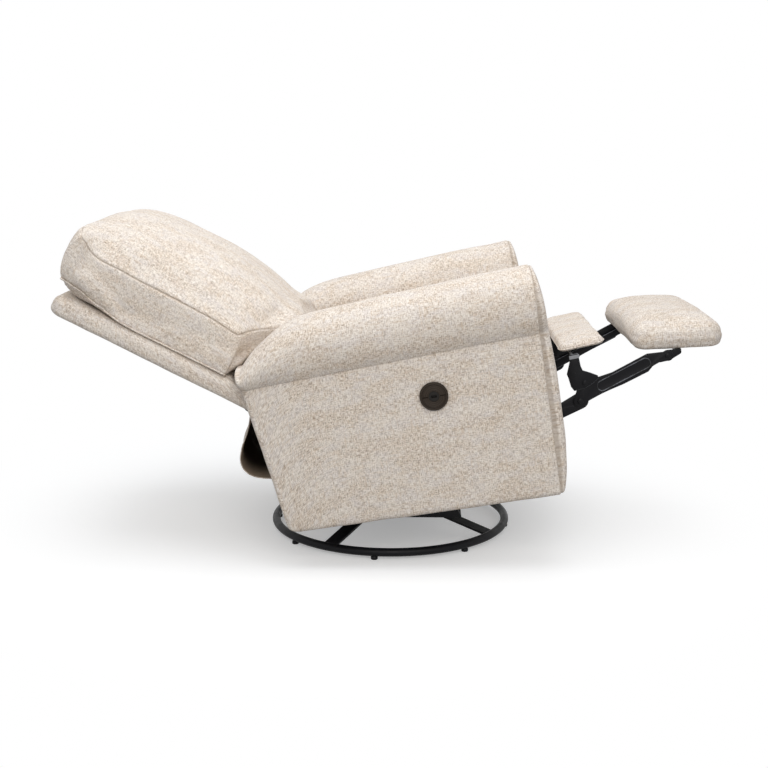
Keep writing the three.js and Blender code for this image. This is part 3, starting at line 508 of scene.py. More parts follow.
def make_bronze():
    """Dark bronze of the power control, with fine turned rings round its centre."""
    s = Shader("control_bronze")
    reach = s.reach(LEVEL.world([CONTROL_X, -OUTER_Y, CONTROL_Z]))
    rings = s.math("SINE", s.math("MULTIPLY", reach, 1500.0))
    grain = s.cloud(500, 2.0)
    tone = s.mix(grain, colour(40, 31, 23), colour(56, 45, 34))
    tone = s.mix(s.ramp(rings, 0.2, 1.0, 0.0, 0.7), tone, colour(22, 17, 13))
    s.set(Base_Color=tone, Roughness=0.45, Normal=s.bump(rings, 0.0004, 0.6), Specular_IOR_Level=0.2)
    return s.material


def make_timber():
    """Plain beech of the seat frame."""
    s = Shader("timber")
    grain = s.noise(s.stretched(s.place, 14, 160), 1.0, 4.0, 0.6, flat=False)
    s.set(Base_Color=s.mix(grain, colour(176, 138, 92), colour(214, 182, 136)), Roughness=0.6)
    s.set(Normal=s.bump(grain, 0.0004, 0.4))
    return s.material


def make_dark_plastic():
    """Black moulded plastic with a fine grain."""
    s = Shader("dark_plastic")
    grain = s.cloud(1400, 2.0, 0.5)
    s.set(Base_Color=s.mix(grain, colour(18, 16, 14), colour(34, 30, 27)), Roughness=0.5)
    s.set(Normal=s.bump(grain, 0.0002, 0.5), Specular_IOR_Level=0.2)
    return s.material


fabric = make_fabric()
painted_flap_shade = make_painted_flap_shade()
black_steel = make_black_steel()
painted_edge_highlight = make_painted_edge_highlight()
bright_steel = make_bright_steel()
make_bronze()
make_timber()
make_dark_plastic()


# Arms

SEAM_DEPTH = 3.8
SEAM_WIDTH = 2.6
TUCK_DEPTH = 4.0
TUCK_WIDTH = 15
CONTROL_PRESS = 8
CONTROL_REACH = 28
PANEL_ROUND = 14
REAR_ROUND = 13
LOW_CORNER = 20
ARM_COLUMNS = 24
NEAR_SEAM = [9, 6, 4.2, 2.8, 1.4]
ROLL_SHARES = [0.018, 0.037, 0.06, 0.09, 0.13, 0.19, 0.27, 0.36, 0.46, 0.57, 0.68, 0.79, 0.9, 1.0]


def seam_height(x):
    return SEAM_REAR_Z + (SEAM_FRONT_Z - SEAM_REAR_Z) * (x - SEAM_REAR_X) / (BODY_FRONT - SEAM_REAR_X)


def half_section(panel_y, roll_y, seam, height):
    """Half of an arm's section from its lower edge over the panel and the roll to the crest, as (y, z),
    with each point's distance from the roll's seam."""
    out = math.copysign(1, panel_y - CREST_Y)
    swell = 2.5 if out > 0 else 0.0
    low = BODY_BOTTOM + PANEL_ROUND
    waist = WAIST_SHARE * height
    round_edge = np.linspace(0, math.pi / 2, 6)
    panel = np.linspace(0, 1, 30)[1:]
    near = np.array(NEAR_SEAM[1:] + [0])
    roll = np.array(ROLL_SHARES)
    over = np.linspace(0, math.pi / 2, 26)[1:]
    y = np.concatenate([
        panel_y - out * PANEL_ROUND * (1 - np.sin(round_edge)),
        panel_y + swell * np.abs(np.sin(math.pi * panel)) ** 0.7,
        np.full(len(near), panel_y),
        panel_y + (roll_y - panel_y) * (1 - (1 - roll) ** 2),
        CREST_Y + (roll_y - CREST_Y) * np.maximum(np.cos(over), 0) ** 0.92,
    ])
    z = np.concatenate([
        low - PANEL_ROUND * np.cos(round_edge), low + (seam - NEAR_SEAM[0] - low) * panel,
        seam - near, seam + waist * roll, seam + waist + (height - waist) * np.sin(over) ** 0.92,
    ])
    distances = np.concatenate([np.abs(z[:-len(over)] - seam), waist + (height - waist) * over])
    y -= out * TUCK_DEPTH * groove(distances, TUCK_WIDTH)
    return np.column_stack([y, z]), distances


def make_arm(side, label):
    """One upholstered arm: outer and inner panels, rolled top and puffed front panel, sewn together."""
    rear_seam = SEAM_REAR_X + REAR_ROUND
    rear_low = REAR_LOW_X + REAR_ROUND
    steps = np.linspace(NEAR_SEAM[0], BODY_FRONT - rear_seam, 96)
    gaps = np.array([0] + NEAR_SEAM[::-1][:-1] + list(steps))
    loops, places, depths = [], [], []
    front = None
    for gap in gaps:
        share = gap / (BODY_FRONT - rear_seam)
        seam_x = BODY_FRONT - gap
        low_x = BODY_FRONT + (rear_low - BODY_FRONT) * share
        seam = seam_height(seam_x)
        reach = (BODY_FRONT - seam_x) / (BODY_FRONT - SEAM_REAR_X + ROLL_TIP)
        height = float(smooth_curve(CREST_SHARES, CREST_HEIGHTS, reach))
        outer, far = half_section(OUTER_Y, ROLL_OUTER_Y, seam, height)
        inner, near = half_section(INNER_Y, ROLL_INNER_Y, seam, height)
        floor_y = np.linspace(inner[0, 0], outer[0, 0], ARM_COLUMNS + 1)[1:-1]
        under = np.stack([floor_y, np.full(len(floor_y), BODY_BOTTOM)], 1)
        loop = np.vstack([outer, inner[::-1][1:], under, outer[:1]])
        distance = np.concatenate([far, near[::-1][1:], np.full(len(under) + 1, far[0])])
        lift = np.clip((loop[:, 1] - BODY_BOTTOM) / (seam - BODY_BOTTOM), 0, 1)
        x = low_x + (seam_x - low_x) * lift
        above = np.clip((loop[:, 1] - seam) / 60, 0, 1)
        x = x - ROLL_TIP * share ** 10 * np.sin(above * math.pi / 2)
        below = np.clip(LOW_CORNER - (loop[:, 1] - BODY_BOTTOM), 0, LOW_CORNER)
        x = x + (LOW_CORNER - np.sqrt(LOW_CORNER ** 2 - below ** 2)) * share ** 24
        loops.append(np.column_stack([x, side * loop[:, 0], loop[:, 1]]))
        along = run_along(loop)
        places.append(np.column_stack([x, along - along[len(outer) - 1]]))
        seam_depth = SEAM_DEPTH * np.maximum(groove(distance, SEAM_WIDTH) * 0.5, groove(gap, SEAM_WIDTH))
        # The pressed hollow also gets painted shade, since the fabric darkens with this depth.
        pressed = CONTROL_PRESS * groove(np.hypot(x - CONTROL_X, loop[:, 1] - CONTROL_Z), CONTROL_REACH)
        depths.append(seam_depth + pressed * (side < 0) * (loop[:, 0] > CREST_Y))
        if front is None:
            front = (outer, inner, loop)
    half = len(outer)
    sewn = Sewn()
    sewn.add(LEVEL.world(np.array(loops)), np.array(places) * MM + 0.37 * side, np.array(depths))
    add_arm_front(sewn, front, side)
    add_arm_rear(sewn, loops[-1], half, side)
    arm = sewn.build(f"arm_{label}", fabric, [(2.2, 0.16), (0.9, 0.055)])
    nodes = [f"{part}_{label}" for part in ("arm_roll", "side_panel", "inner_panel", "front_panel")]
    finish_piece(arm, "chassis", nodes)


def loop_distance(points, loop):
    """Distance of (y, z) points from a closed outline."""
    start, end = loop[:-1], loop[1:]
    span = end - start
    length = np.maximum((span ** 2).sum(1), 1e-9)
    offset = points[:, None, :] - start[None]
    t = np.clip((offset * span).sum(2) / length, 0, 1)
    nearest = start[None] + t[..., None] * span[None]
    return np.sqrt(((points[:, None, :] - nearest) ** 2).sum(2)).min(1)


def add_arm_front(sewn, front, side):
    """Puffed front panel, from the outer edge to the inner one at each height."""
    outer, inner, loop = front
    even = np.linspace(0, 1, ARM_COLUMNS + 1)
    shares = (1 - np.cos(math.pi * even)) / 2
    shares[1:-1] = shares[1:-1] * 0.9 + even[1:-1] * 0.1
    rows = between(outer, inner, shares)
    rows[0, :, 0] = np.linspace(outer[0, 0], inner[0, 0], ARM_COLUMNS + 1)
    flat = rows.reshape(-1, 2)
    distance = loop_distance(flat, loop)
    depth = smooth_curve(FRONT_HEIGHTS, FRONT_DEPTHS, flat[:, 1])
    edge = 1 - np.clip(distance / 24, 0, 1)
    rise = np.sqrt(1 - edge ** 2.4)
    x = BODY_FRONT + depth * rise + 3.0 * (1 - np.exp(-((distance / 40) ** 2)))
    points = np.column_stack([x, side * flat[:, 0], flat[:, 1]]).reshape(*rows.shape[:2], 3)
    drawn = SEAM_DEPTH * groove(distance, SEAM_WIDTH)
    sewn.add(LEVEL.world(points), rows * MM + 1.7, drawn)


def add_arm_rear(sewn, loop, half, side):
    """Rounded rear edge and flat rear panel. loop is the arm's last section, and half its outer points."""
    outer, inner = loop[:half], loop[half - 1:2 * half - 1][::-1]
    middle = (outer + inner) / 2
    rings = [loop]
    back = np.array([-1.0, 0, 0.08])
    under = loop[2 * half - 1:-1].copy()
    under[:, 1] = side * (OUTER_Y + INNER_Y) / 2
    under[:, 2] = loop[0, 2] + PANEL_ROUND
    centre = np.vstack([middle, middle[::-1][1:], under, middle[:1]])
    away = loop - centre
    away[:, 0] = 0
    size = np.maximum(np.linalg.norm(away, axis=1, keepdims=True), 1e-6)
    pull = np.minimum(size, REAR_ROUND) * away / size
    for turn in np.linspace(0, math.pi / 2, 6)[1:]:
        rings.append(loop - pull * (1 - math.cos(turn)) + back * REAR_ROUND * math.sin(turn))
    rings = np.array(rings)
    sewn.add(LEVEL.world(rings), rings[..., 1:] * MM + 2.9)
    last = rings[-1]
    rows = between(last[:half], last[half - 1:2 * half - 1][::-1], np.linspace(0, 1, ARM_COLUMNS + 1))
    rows[0] = np.vstack([last[0], last[2 * half - 1:-1][::-1], last[2 * half - 2]])
    sewn.add(LEVEL.world(rows), rows[..., 1:] * MM + 2.9)


# Cushions

WALL_ROWS = 12
FRONT_BULGE = 14


def cushion_grids(low, high, across, rows):
    """Top and bottom grids in millimetres, from functions of a row's place and of v across."""
    v = np.linspace(-1, 1, across + 1)
    top = np.array([[high(row, b) for b in v] for row in rows[0]], float)
    bottom = np.array([[low(row, b) for b in v] for row in rows[1]], float)
    return top, bottom


def rim(grid):
    """Border of a grid as one closed line of points, starting and ending at its first corner."""
    return np.concatenate([grid[:, 0], grid[-1, 1:], grid[-2::-1, -1], grid[0, -2::-1]])


def boxing(top, bottom, bulge):
    """Side wall between the borders of two grids, swelled out by bulge at half height."""
    upper, lower = rim(top), rim(bottom)
    closed = np.roll(upper[:-1], -1, axis=0) - np.roll(upper[:-1], 1, axis=0)
    across = (upper - lower)[:-1]
    out = np.cross(closed, across)
    out /= np.maximum(np.linalg.norm(out, axis=1, keepdims=True), 1e-9)
    centre = upper[:-1].mean(0)
    if ((upper[:-1] - centre) * out).sum() < 0:
        out = -out
    out = np.vstack([out, out[:1]])
    wall = []
    for share in np.linspace(0, 1, WALL_ROWS + 1):
        wall.append(lower + (upper - lower) * share + out * bulge * math.sin(math.pi * share) ** 0.8)
    wall[0], wall[-1] = lower, upper
    return np.array(wall)


def wall_swell():
    """Share of a side wall's full swell at each of its rows between the borders."""
    return np.sin(math.pi * np.arange(1, WALL_ROWS) / WALL_ROWS)


CLOTH = {
    "quality": 5, "mass": 0.3, "tension_stiffness": 20, "compression_stiffness": 20, "shear_stiffness": 8,
    "bending_stiffness": 1.2, "tension_damping": 20, "compression_damping": 20, "use_pressure": True,
    "vertex_group_mass": "held",
}


def inflate(grids, axes, frames, pressure, cap, held, shrink):
    """World grids of welded local ones, inflated as cloth with no point moved further than
    cap. held(point) says which points stay."""
    worlds = [axes.world(g) for g in grids]
    counts = [g.shape[0] * g.shape[1] for g in grids]
    starts = np.cumsum([0] + counts)
    faces = [quads(numbered(*g.shape[:2], start)) for g, start in zip(grids, starts)]
    flat = np.vstack([world.reshape(-1, 3) for world in worlds])
    key, weld = np.unique(np.round(flat, 6), axis=0, return_inverse=True)
    weld = weld.reshape(-1)
    mesh = bpy.data.meshes.new("cloth_trial")
    mesh.from_pydata(key.tolist(), [], weld[np.vstack(faces)].tolist())
    with editing(mesh) as bm:
        bmesh.ops.recalc_face_normals(bm, faces=bm.faces)
    obj = new_object("cloth_trial", mesh)
    pinned = obj.vertex_groups.new(name="held")
    local = np.vstack([g.reshape(-1, 3) for g in grids])
    first = {w: i for i, w in reversed(list(enumerate(weld)))}
    pinned.add([int(w) for w, i in first.items() if held(local[i])], 1.0, "REPLACE")
    cloth = obj.modifiers.new("cloth", "CLOTH")
    for key_name, value in CLOTH.items():
        setattr(cloth.settings, key_name, value)
    cloth.settings.uniform_pressure_force = pressure
    cloth.settings.shrink_min = shrink
    cloth.settings.shrink_max = shrink
    cloth.settings.effector_weights.gravity = 0
    cloth.collision_settings.use_collision = False
    cloth.point_cache.frame_start = 1
    cloth.point_cache.frame_end = frames
    scene = bpy.context.scene
    for index in range(1, frames + 1):
        scene.frame_set(index)
    evaluated = obj.evaluated_get(bpy.context.evaluated_depsgraph_get())
    moved = np.array([v.co for v in evaluated.data.vertices], float)
    scene.frame_set(1)
    bpy.data.objects.remove(obj)
    shift = moved - key
    size = np.linalg.norm(shift, axis=1, keepdims=True)
    shift *= np.minimum(1, cap * MM / np.maximum(size, 1e-9))
    world = (key + shift)[weld]
    return [part.reshape(g.shape) for part, g in zip(np.split(world, starts[1:-1]), grids)]


def fine_places(run, near):
    """Fractional places on a line with these distances, close together near both of its ends."""
    count = len(run) - 1
    index = np.arange(count + 1)
    start = np.interp(near, run, index)
    end = np.interp(run[-1] - np.array(near), run, index)
    inner = np.linspace(start[-1], end[-1], int(count * 1.6))
    return np.concatenate([start[:-1], inner, end[:-1][::-1]])


def line_distance(points, line):
    """Distances, in millimetres, of points from a line of points, all in metres."""
    flat = points.reshape(-1, 3)
    found = [loop_distance(flat[i:i + 1500], line) for i in range(0, len(flat), 1500)]
    return np.concatenate(found).reshape(points.shape[:-1]) / MM


def sewn_cushion(name, worlds, seams, lumps, shift, plain_start=False):
    """Cushion mesh from its top, bottom and boxing, with seams of (depth, width) round top and bottom.
    plain_start leaves out the top's seam along its first row."""
    top, bottom, wall = worlds
    along, across, rows = top.shape[0] - 1, top.shape[1] - 1, wall.shape[0] - 1
    lines = top[:, across // 2], top[along // 2], wall[:, 0]
    u, v, w = (fine_places(run_along(line, MM), [0, 1.2, 2.4, 4.0, 6.5, 10]) for line in lines)
    u_rows, v_rows = spline_weights(along + 1, u), spline_weights(across + 1, v)
    faces = [np.einsum("ai,bj,ijk->abk", u_rows, v_rows, grid) for grid in (top, bottom)]
    lines = [rim(face) for face in faces]
    if plain_start:
        lines[0] = lines[0][:1 - faces[0].shape[1]]
    sewn = Sewn()
    for face, line, (depth, width), extra in zip(faces, lines, seams, (0, 1.3)):
        down = run_along(face[:, face.shape[1] // 2], MM)
        steps = np.linalg.norm(np.diff(face, axis=1), axis=2) / MM
        over = np.concatenate([np.zeros((len(face), 1)), np.cumsum(steps, axis=1)], 1)
        over -= over[:, [face.shape[1] // 2]]
        places = np.stack([np.broadcast_to(down[:, None], over.shape), over], -1) * MM + shift + extra
        sewn.add(face, places, depth * groove(line_distance(face, line), width))
    wall_rows = spline_weights(rows + 1, w)
    corners = [0, along, along + across, 2 * along + across, 2 * along + 2 * across]
    travelled = 0.0
    for start, end, spots in zip(corners, corners[1:], (u, v, along - u[::-1], across - v[::-1])):
        weights = spline_weights(end - start + 1, spots)
        face = np.einsum("ai,bj,ijk->abk", wall_rows, weights, wall[:, start:end + 1])
        depth = sum(
            seam_depth * groove(line_distance(face, line), width)
            for line, (seam_depth, width) in zip(lines, seams)
        )
        along_wall = travelled + run_along(face[len(face) // 2], MM)
        sewn.add(face, cloth_places(run_along(face[:, 0], MM), along_wall, shift + 3.1), depth)
        travelled = along_wall[-1]
    return sewn.build(name, fabric, lumps)


def make_wing(obj, name, half):
    """Cuts the soft corners below the shoulder and outside a half width off a part of the back."""
    level = Vector(BACK.world([0, 0, SHOULDER]))
    along = Vector(BACK.z)
    edge = half * MM
    near = 0.005 * MM
    planes = [(level, along)] + [(Vector((0, side * edge, 0)), (0, 1, 0)) for side in (1, -1)]
    whole = obj.data.copy()
    piece = new_object(name, obj.data.copy())
    for target, cut_away in ((piece, False), (obj, True)):
        with editing(target.data, whole) as bm:
            for place, normal in planes:
                geometry = bm.verts[:] + bm.edges[:] + bm.faces[:]
                bmesh.ops.bisect_plane(bm, geom=geometry, dist=near / 10, plane_co=place, plane_no=normal)
            gone = []
            for face in bm.faces:
                middle = face.calc_center_median()
                corner = abs(middle.y) > edge and (middle - level).dot(along) < 0
                if corner == cut_away:
                    gone.append(face)
            bmesh.ops.delete(bm, geom=gone, context="FACES")
            for side in (-1, 1):
                close_cut(bm, side, edge, level, along, near)
            bmesh.ops.recalc_face_normals(bm, faces=bm.faces)
        sharpen(target, 60)
    finish_piece(piece, "back")
    anchor = BACK.world([0, 0, SHOULDER])
    tuple(BACK.z)
    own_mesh(piece)
    return piece


def close_cut(bm, side, edge, level, along, near):
    """Closes the two openings that a corner's cut leaves on one side."""
    rim_verts = [v for v in bm.verts if v.is_boundary]
    on_side = {v for v in rim_verts if abs(v.co.y - side * edge) < near}
    high = {v for v in rim_verts if abs((v.co - level).dot(along)) < near}
    on_top = {v for v in high if side * v.co.y > edge - near}
    link = [bm.edges.new(list(on_side & on_top))] if len(on_side & on_top) == 2 else []
    for on in (on_side, on_top):
        border = [e for e in bm.edges if e.is_boundary and e.verts[0] in on and e.verts[1] in on]
        edges = list(dict.fromkeys(border + link))
        made = bmesh.ops.triangle_fill(bm, use_beauty=True, edges=edges)
        weave = bm.loops.layers.uv.active
        for face in made["geom"]:
            if isinstance(face, bmesh.types.BMFace):
                for loop in face.loops:
                    loop[weave].uv = (loop.vert.co.x + loop.vert.co.y, loop.vert.co.z)


def back_half(s, notch):
    """Half width of the back cushion at a place along the back, which widens over the stretch of a notch."""
    start, end, power = notch
    blend = np.clip((s - start) / (end - start), 0, 1) ** power
    return NARROW_HALF - 4 + (WIDE_HALF - NARROW_HALF + 2) * blend


NOTCH_TOP = (158, 249, 1.2)
NOTCH_LOW = (229, 239, 1.0)
HEAD_BULGE = 13
CROWN_S = [95, 150, 190, 231, 271, 311, 349, 420, 505, 562, 596, 642, 699, 740]
CROWN_N = [190, 204, 209, 220, 231, 239, 245, 250, 247, 245, 241, 229, 194, 158]
UPPER_S = [112, 244, 335, 431, 567, 656, 706]
UPPER_N = [116, 118, 125, 127, 131, 138, 164]
LOWER_S = [176, 232, 473, 593, 698]
LOWER_N = [17, 19, 18, 27, 42]


def back_rows(start, notch, end):
    """Rows along the back, close together where it widens."""
    low, high = notch[:2]
    return np.concatenate([
        np.linspace(start, low - 4, 7), np.linspace(low, high + 1, 15),
        np.linspace(high + 7, high + 25, 3), np.linspace(high + 35, end, 43),
    ])


def make_back_cushion():
    """Thick loose cushion with boxing, crowned face and a welt at the lower seam."""
    start, end, head = 99, 700, 36

    def high(row, v):
        share = (row - start) / (end - start)
        s = row + head * share ** 2 * (1 - v ** 4)
        edge = float(smooth_curve(UPPER_S, UPPER_N, s))
        crown = float(smooth_curve(CROWN_S, CROWN_N, s))
        y = v * (back_half(row, NOTCH_TOP) - 5 * (1 - (2 * share - 1) ** 2))
        n = edge + (crown - edge) * (1 - abs(y / WIDE_HALF) ** 2.6)
        return (n, y, s)

    def low(row, v):
        share = (row - start) / (end - start)
        edge = float(smooth_curve(LOWER_S, LOWER_N, row))
        lift = max(abs(v) ** 16, np.clip((row - 176) / 522, 0, 1) ** 24)
        n = SHELL_FRONT + 1 + max(edge - SHELL_FRONT - 1, 0) * lift
        pull = 7 * (1 - (2 * share - 1) ** 2)
        return (n, v * (back_half(row, NOTCH_LOW) - pull), row)

    rows = back_rows(start, NOTCH_TOP, end), back_rows(176, NOTCH_LOW, 698)
    top, bottom = cushion_grids(low, high, 58, rows)
    wall = boxing(top, bottom, 7)
    far_end = np.arange(len(top) - 1, len(top) + top.shape[1] - 1)
    wall[1:-1, far_end, 2] += HEAD_BULGE * wall_swell()[:, None] ** 0.7
    worlds = inflate([top, bottom, wall], BACK, 20, 3.2, 13, lambda p: p[0] < SHELL_FRONT + 4, -0.012)
    cushion = sewn_cushion(
        "back_cushion_cover", worlds, ((5.5, 3.0), (2.6, 3.0)), [(2.4, 0.12), (0.9, 0.045)], 0.21, True,
    )
    wing = make_wing(cushion, "back_cushion_corners", NARROW_HALF + 4)
    finish_piece(cushion, "back", ["back_cushion"])
    add_welt(worlds[1])


def tube(points, radius, sides, guide=(0.13, 0.07, 0.99)):
    """Vertices and faces of a closed round tube along points in metres, never running along the guide."""
    points = np.asarray(points, float)
    tangent = np.roll(points, -1, axis=0) - np.roll(points, 1, axis=0)
    tangent /= np.linalg.norm(tangent, axis=1, keepdims=True)
    first = np.cross(tangent, guide)
    first /= np.linalg.norm(first, axis=1, keepdims=True)
    second = np.cross(tangent, first)
    turn = np.linspace(0, 2 * math.pi, sides, endpoint=False)[:, None]
    ring = first[:, None, :] * np.cos(turn) + second[:, None, :] * np.sin(turn)
    index = numbered(len(points), sides)
    index = np.vstack([index, index[:1]])
    vertices = (points[:, None, :] + ring * radius).reshape(-1, 3)
    return vertices, quads(np.hstack([index, index[:, :1]]))


def add_welt(bottom):
    """Narrow welt that stands out along the lower seam of the back cushion."""
    line = rim(bottom)[:-1]
    keep = spline_weights(len(line) + 1, np.linspace(0, len(line), 3 * len(line), endpoint=False))
    smooth = keep @ np.vstack([line, line[:1]])
    centre = smooth.mean(0)
    out = smooth - centre
    out -= (out @ BACK.x)[:, None] * BACK.x
    out /= np.linalg.norm(out, axis=1, keepdims=True)
    path = smooth + out * 0.6 * MM
    welt = joined("back_cushion_welt", [tube(path, 2.4 * MM, 10)], fabric)
    layer = welt.data.uv_layers.new(name="weave")
    for loop in welt.data.loops:
        co = welt.data.vertices[loop.vertex_index].co
        layer.data[loop.index].uv = (co.x + co.y, co.z)
    make_wing(welt, "back_welt_corners", NARROW_HALF + 4)
    finish_piece(welt, "back")


def make_seat_cushion():
    """Boxed seat cushion with a waterfall front."""
    middle, reach = (SEAT_FRONT + SEAT_REAR) / 2, (SEAT_FRONT - SEAT_REAR) / 2

    def high(u, v):
        z = SEAT_BASE + SEAT_BOXING - 6 + SEAT_CROWN * (1 - u ** 4) * (1 - v ** 4)
        z -= SEAT_NOSE * max(u, 0) ** 8 + SEAT_SINK * max(-u, 0)
        return (middle + (reach - 4) * u, v * (SEAT_HALF - 5 * (1 - u * u)), z)

    def low(u, v):
        return (*high(u, v)[:2], SEAT_BASE + 1)

    rows = np.linspace(-1, 1, 47)
    top, bottom = cushion_grids(low, high, 44, (rows, rows))
    wall = boxing(top, bottom, 4)
    front = np.isclose(rim(top)[:, 0], top[-1, 0, 0], atol=0.5)
    wall[1:-1, front, 0] += FRONT_BULGE * wall_swell()[:, None] ** 0.6
    worlds = inflate([top, bottom, wall], LEVEL, 14, 2.5, 6, lambda p: p[2] < SEAT_BASE + 3, -0.008)
    cushion = sewn_cushion(
        "seat_cushion_cover", worlds, ((2.6, 2.6), (2.0, 2.6)), [(1.6, 0.1), (0.7, 0.045)], 0.83,
    )
    finish_piece(cushion, "chassis", ["seat_cushion"])


def pad_outline(rear, front, half, corner, inset):
    """Closed plan outline of a pad: a rectangle with round corners, drawn in by inset."""
    x0, x1, y1 = rear + inset, front - inset, half - inset
    radius = min(max(corner - inset, 0.4), (x1 - x0) / 2)
    right, left, top = x1 - radius, x0 + radius, y1 - radius
    centres = np.array([(right, top), (left, top), (left, -top), (right, -top)])
    points = []
    for i, (centre, ahead) in enumerate(zip(centres, np.roll(centres, -1, axis=0))):
        arc = np.radians(90 * i + np.linspace(0, 90, 9))
        points.extend(centre + radius * np.column_stack([np.cos(arc), np.sin(arc)]))
        shares = np.linspace(0, 1, (25, 61)[i % 2])[1:-1, None]
        points.extend(points[-1] + (ahead - centre) * shares)
    return np.array(points + points[:1])


def make_pad(body, axes, plan, heights, rounds, shift, swell):
    """Padded board with round corners and edges and a mild crown. plan is rear, front and half width,
    heights are base, thickness and crown, and rounds are the corner's, upper and lower edge's radii."""
    rear, front, half = plan
    base, thick, crown = heights
    corner, upper, lower = rounds
    middle, reach = (rear + front) / 2, (front - rear) / 2
    height = base + thick
    profile = [(inset, height, inset) for inset in np.linspace(reach, upper, int((reach - upper) / 6))]
    for turn in np.linspace(0, math.pi / 2, 9)[1:]:
        inset = upper * (1 - math.sin(turn))
        profile.append((inset, height - upper * (1 - math.cos(turn)), upper - upper * turn))
    wall = thick - upper - lower
    for share in np.linspace(0, 1, 5)[1:]:
        run = upper - upper * math.pi / 2 - wall * share
        profile.append((-2.5 * math.sin(math.pi * share), height - upper - wall * share, run))
    under = [profile[-1]]
    for turn in np.linspace(0, math.pi / 2, 6)[1:]:
        under.append((lower * (1 - math.cos(turn)), base + lower * (1 - math.sin(turn)), 0))
    under += [(inset, base, 0) for inset in np.linspace(lower, reach, int((reach - lower) / 12))[1:]]
    grids, places = [], []
    for part in (profile, under):
        rings = []
        for inset, z, run in part:
            plan_line = pad_outline(rear, front, half, corner, inset)
            u = (plan_line[:, 0] - middle) / reach
            v = plan_line[:, 1] / half
            dome = np.clip(1 - abs(u) ** 3, 0, 1) * np.clip(1 - abs(v) ** 5, 0, 1)
            rings.append(np.column_stack([plan_line, z + crown * dome * (z - base) / thick]))
        grids.append(np.array(rings))
        spread = [pad_outline(rear, front, half, corner, run) for inset, z, run in part]
        places.append(np.array(spread if part is profile else [ring[:, :2] for ring in rings]))
    worlds = inflate(grids, axes, 12, 2.0, swell, lambda p: p[2] < base + 2, -0.006)
    sewn = Sewn()
    for world, place in zip(worlds, places):
        sewn.add(world, place * MM + shift)
    pad = sewn.build(f"{body}_pad_cover", fabric, [(1.6, 0.09), (0.7, 0.035)])
    finish_piece(pad, body, [f"{body}_pad"])


# Back shell


def make_back_shell():
    """Upholstered shell of the back, with rounded edges and seams round its rear panel."""
    edge, front_edge = 15, 27
    turns = np.linspace(0, math.pi / 2, 8)

    def half_line(n):
        share = (n - SHELL_REAR) / (SHELL_FRONT - SHELL_REAR)
        wing = WING_LOW + (WING_LOW_FRONT - WING_LOW) * share ** 1.7
        line = [(NARROW_HALF, s) for s in np.linspace(SHELL_LOW, wing, 18)]
        line += [(y, wing) for y in np.linspace(NARROW_HALF, WIDE_HALF, 9)[1:]]
        line += [(WIDE_HALF, s) for s in np.linspace(wing, SHELL_TOP - SHELL_CORNER, 44)[1:-1]]
        corner = SHELL_CORNER * np.column_stack([np.cos(turns) - 1, np.sin(turns) - 1])
        return np.vstack([line, corner + (WIDE_HALF, SHELL_TOP)])

    half = len(half_line(0))
    columns = 40

    def ring(inset, n):
        right = half_line(n)
        tangent = np.gradient(right, axis=0)
        normal = np.column_stack([tangent[:, 1], -tangent[:, 0]])
        normal /= np.linalg.norm(normal, axis=1, keepdims=True)
        normal[0] = (0.7, -0.7)
        normal[-1] = (0, 1)
        pulled = right - normal * inset
        other = pulled * [-1, 1]
        top = np.linspace(pulled[-1], other[-1], columns + 1)[1:-1]
        low = np.linspace(other[0], pulled[0], columns + 1)[1:-1]
        loop = np.vstack([pulled, top, other[::-1], low, pulled[:1]])
        return np.column_stack([np.full(len(loop), n), loop[:, 0], loop[:, 1]])

    arc = np.radians(np.linspace(0, 90, 7))
    arc = np.column_stack([1 - np.sin(arc), 1 - np.cos(arc)])
    wall = np.linspace(SHELL_REAR + edge, SHELL_FRONT - front_edge, 6)[1:-1]
    profile = np.vstack([
        arc * edge + (0, SHELL_REAR), np.column_stack([wall * 0, wall]),
        arc[::-1] * (front_edge, -front_edge) + (0, SHELL_FRONT),
    ])
    rings = np.array([ring(inset, n) for inset, n in profile])
    sewn = Sewn()
    sewn.add(BACK.world(rings), cloth_places(run_along(profile), run_along(rings[8]), 4.2))
    for loop in (rings[0], rings[-1]):
        other = loop[half + columns - 1:2 * half + columns - 1][::-1]
        rows = between(loop[:half], other, np.linspace(0, 1, columns + 1))
        sewn.add(BACK.world(rows), rows[..., 1:] * MM + 5.5)
    shell = sewn.build("back_shell_cover", fabric, [(1.6, 0.15), (0.6, 0.05)])
    make_wing(shell, "back_shell_corners", NARROW_HALF + 1)
    finish_piece(shell, "back", ["back_shell"])


# Cloth flap between the back and the body

FLAP_LINE = [
    (-258.3, 219), (-297, 226), (-336, 235), (-361, 254), (-370, 284), (-360, 320),
    (-343, 350), (-329, 378), (-319, 406), (-313, 428),
]
TUCK_LINE = [(-130, 386.3), (-149, 386.3), (-158, 381), (-167, 379), (-177, 386), (-184, 400)]
TUCK_HALF = 234


def hang_cloth(name, x, z, path, y, shift, thickness):
    """Cloth through a grid of x and z in the level axes, whose rows follow a path and whose columns
    follow y. Gives the piece and its area before it got its thickness."""
    grid = np.stack([x, np.broadcast_to(y, x.shape), z], -1)
    sewn = Sewn()
    sewn.add(LEVEL.world(grid), cloth_places(run_along(path), y, shift))
    cloth = sewn.build(name, fabric)
    area = sum(p.area for p in cloth.data.polygons)
    thick = cloth.modifiers.new("thickness", "SOLIDIFY")
    thick.thickness = thickness * MM
    thick.offset = 0
    apply_modifiers(cloth)
    return cloth, area


def finish_cloth(cloth, bend):
    """Blends a cloth over the (x, z) places of a bend in the level axes."""
    start, end = (tuple(LEVEL.world([x, 0, z])) for x, z in bend)
    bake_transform(cloth, "chassis", "back", start=start, end=end)


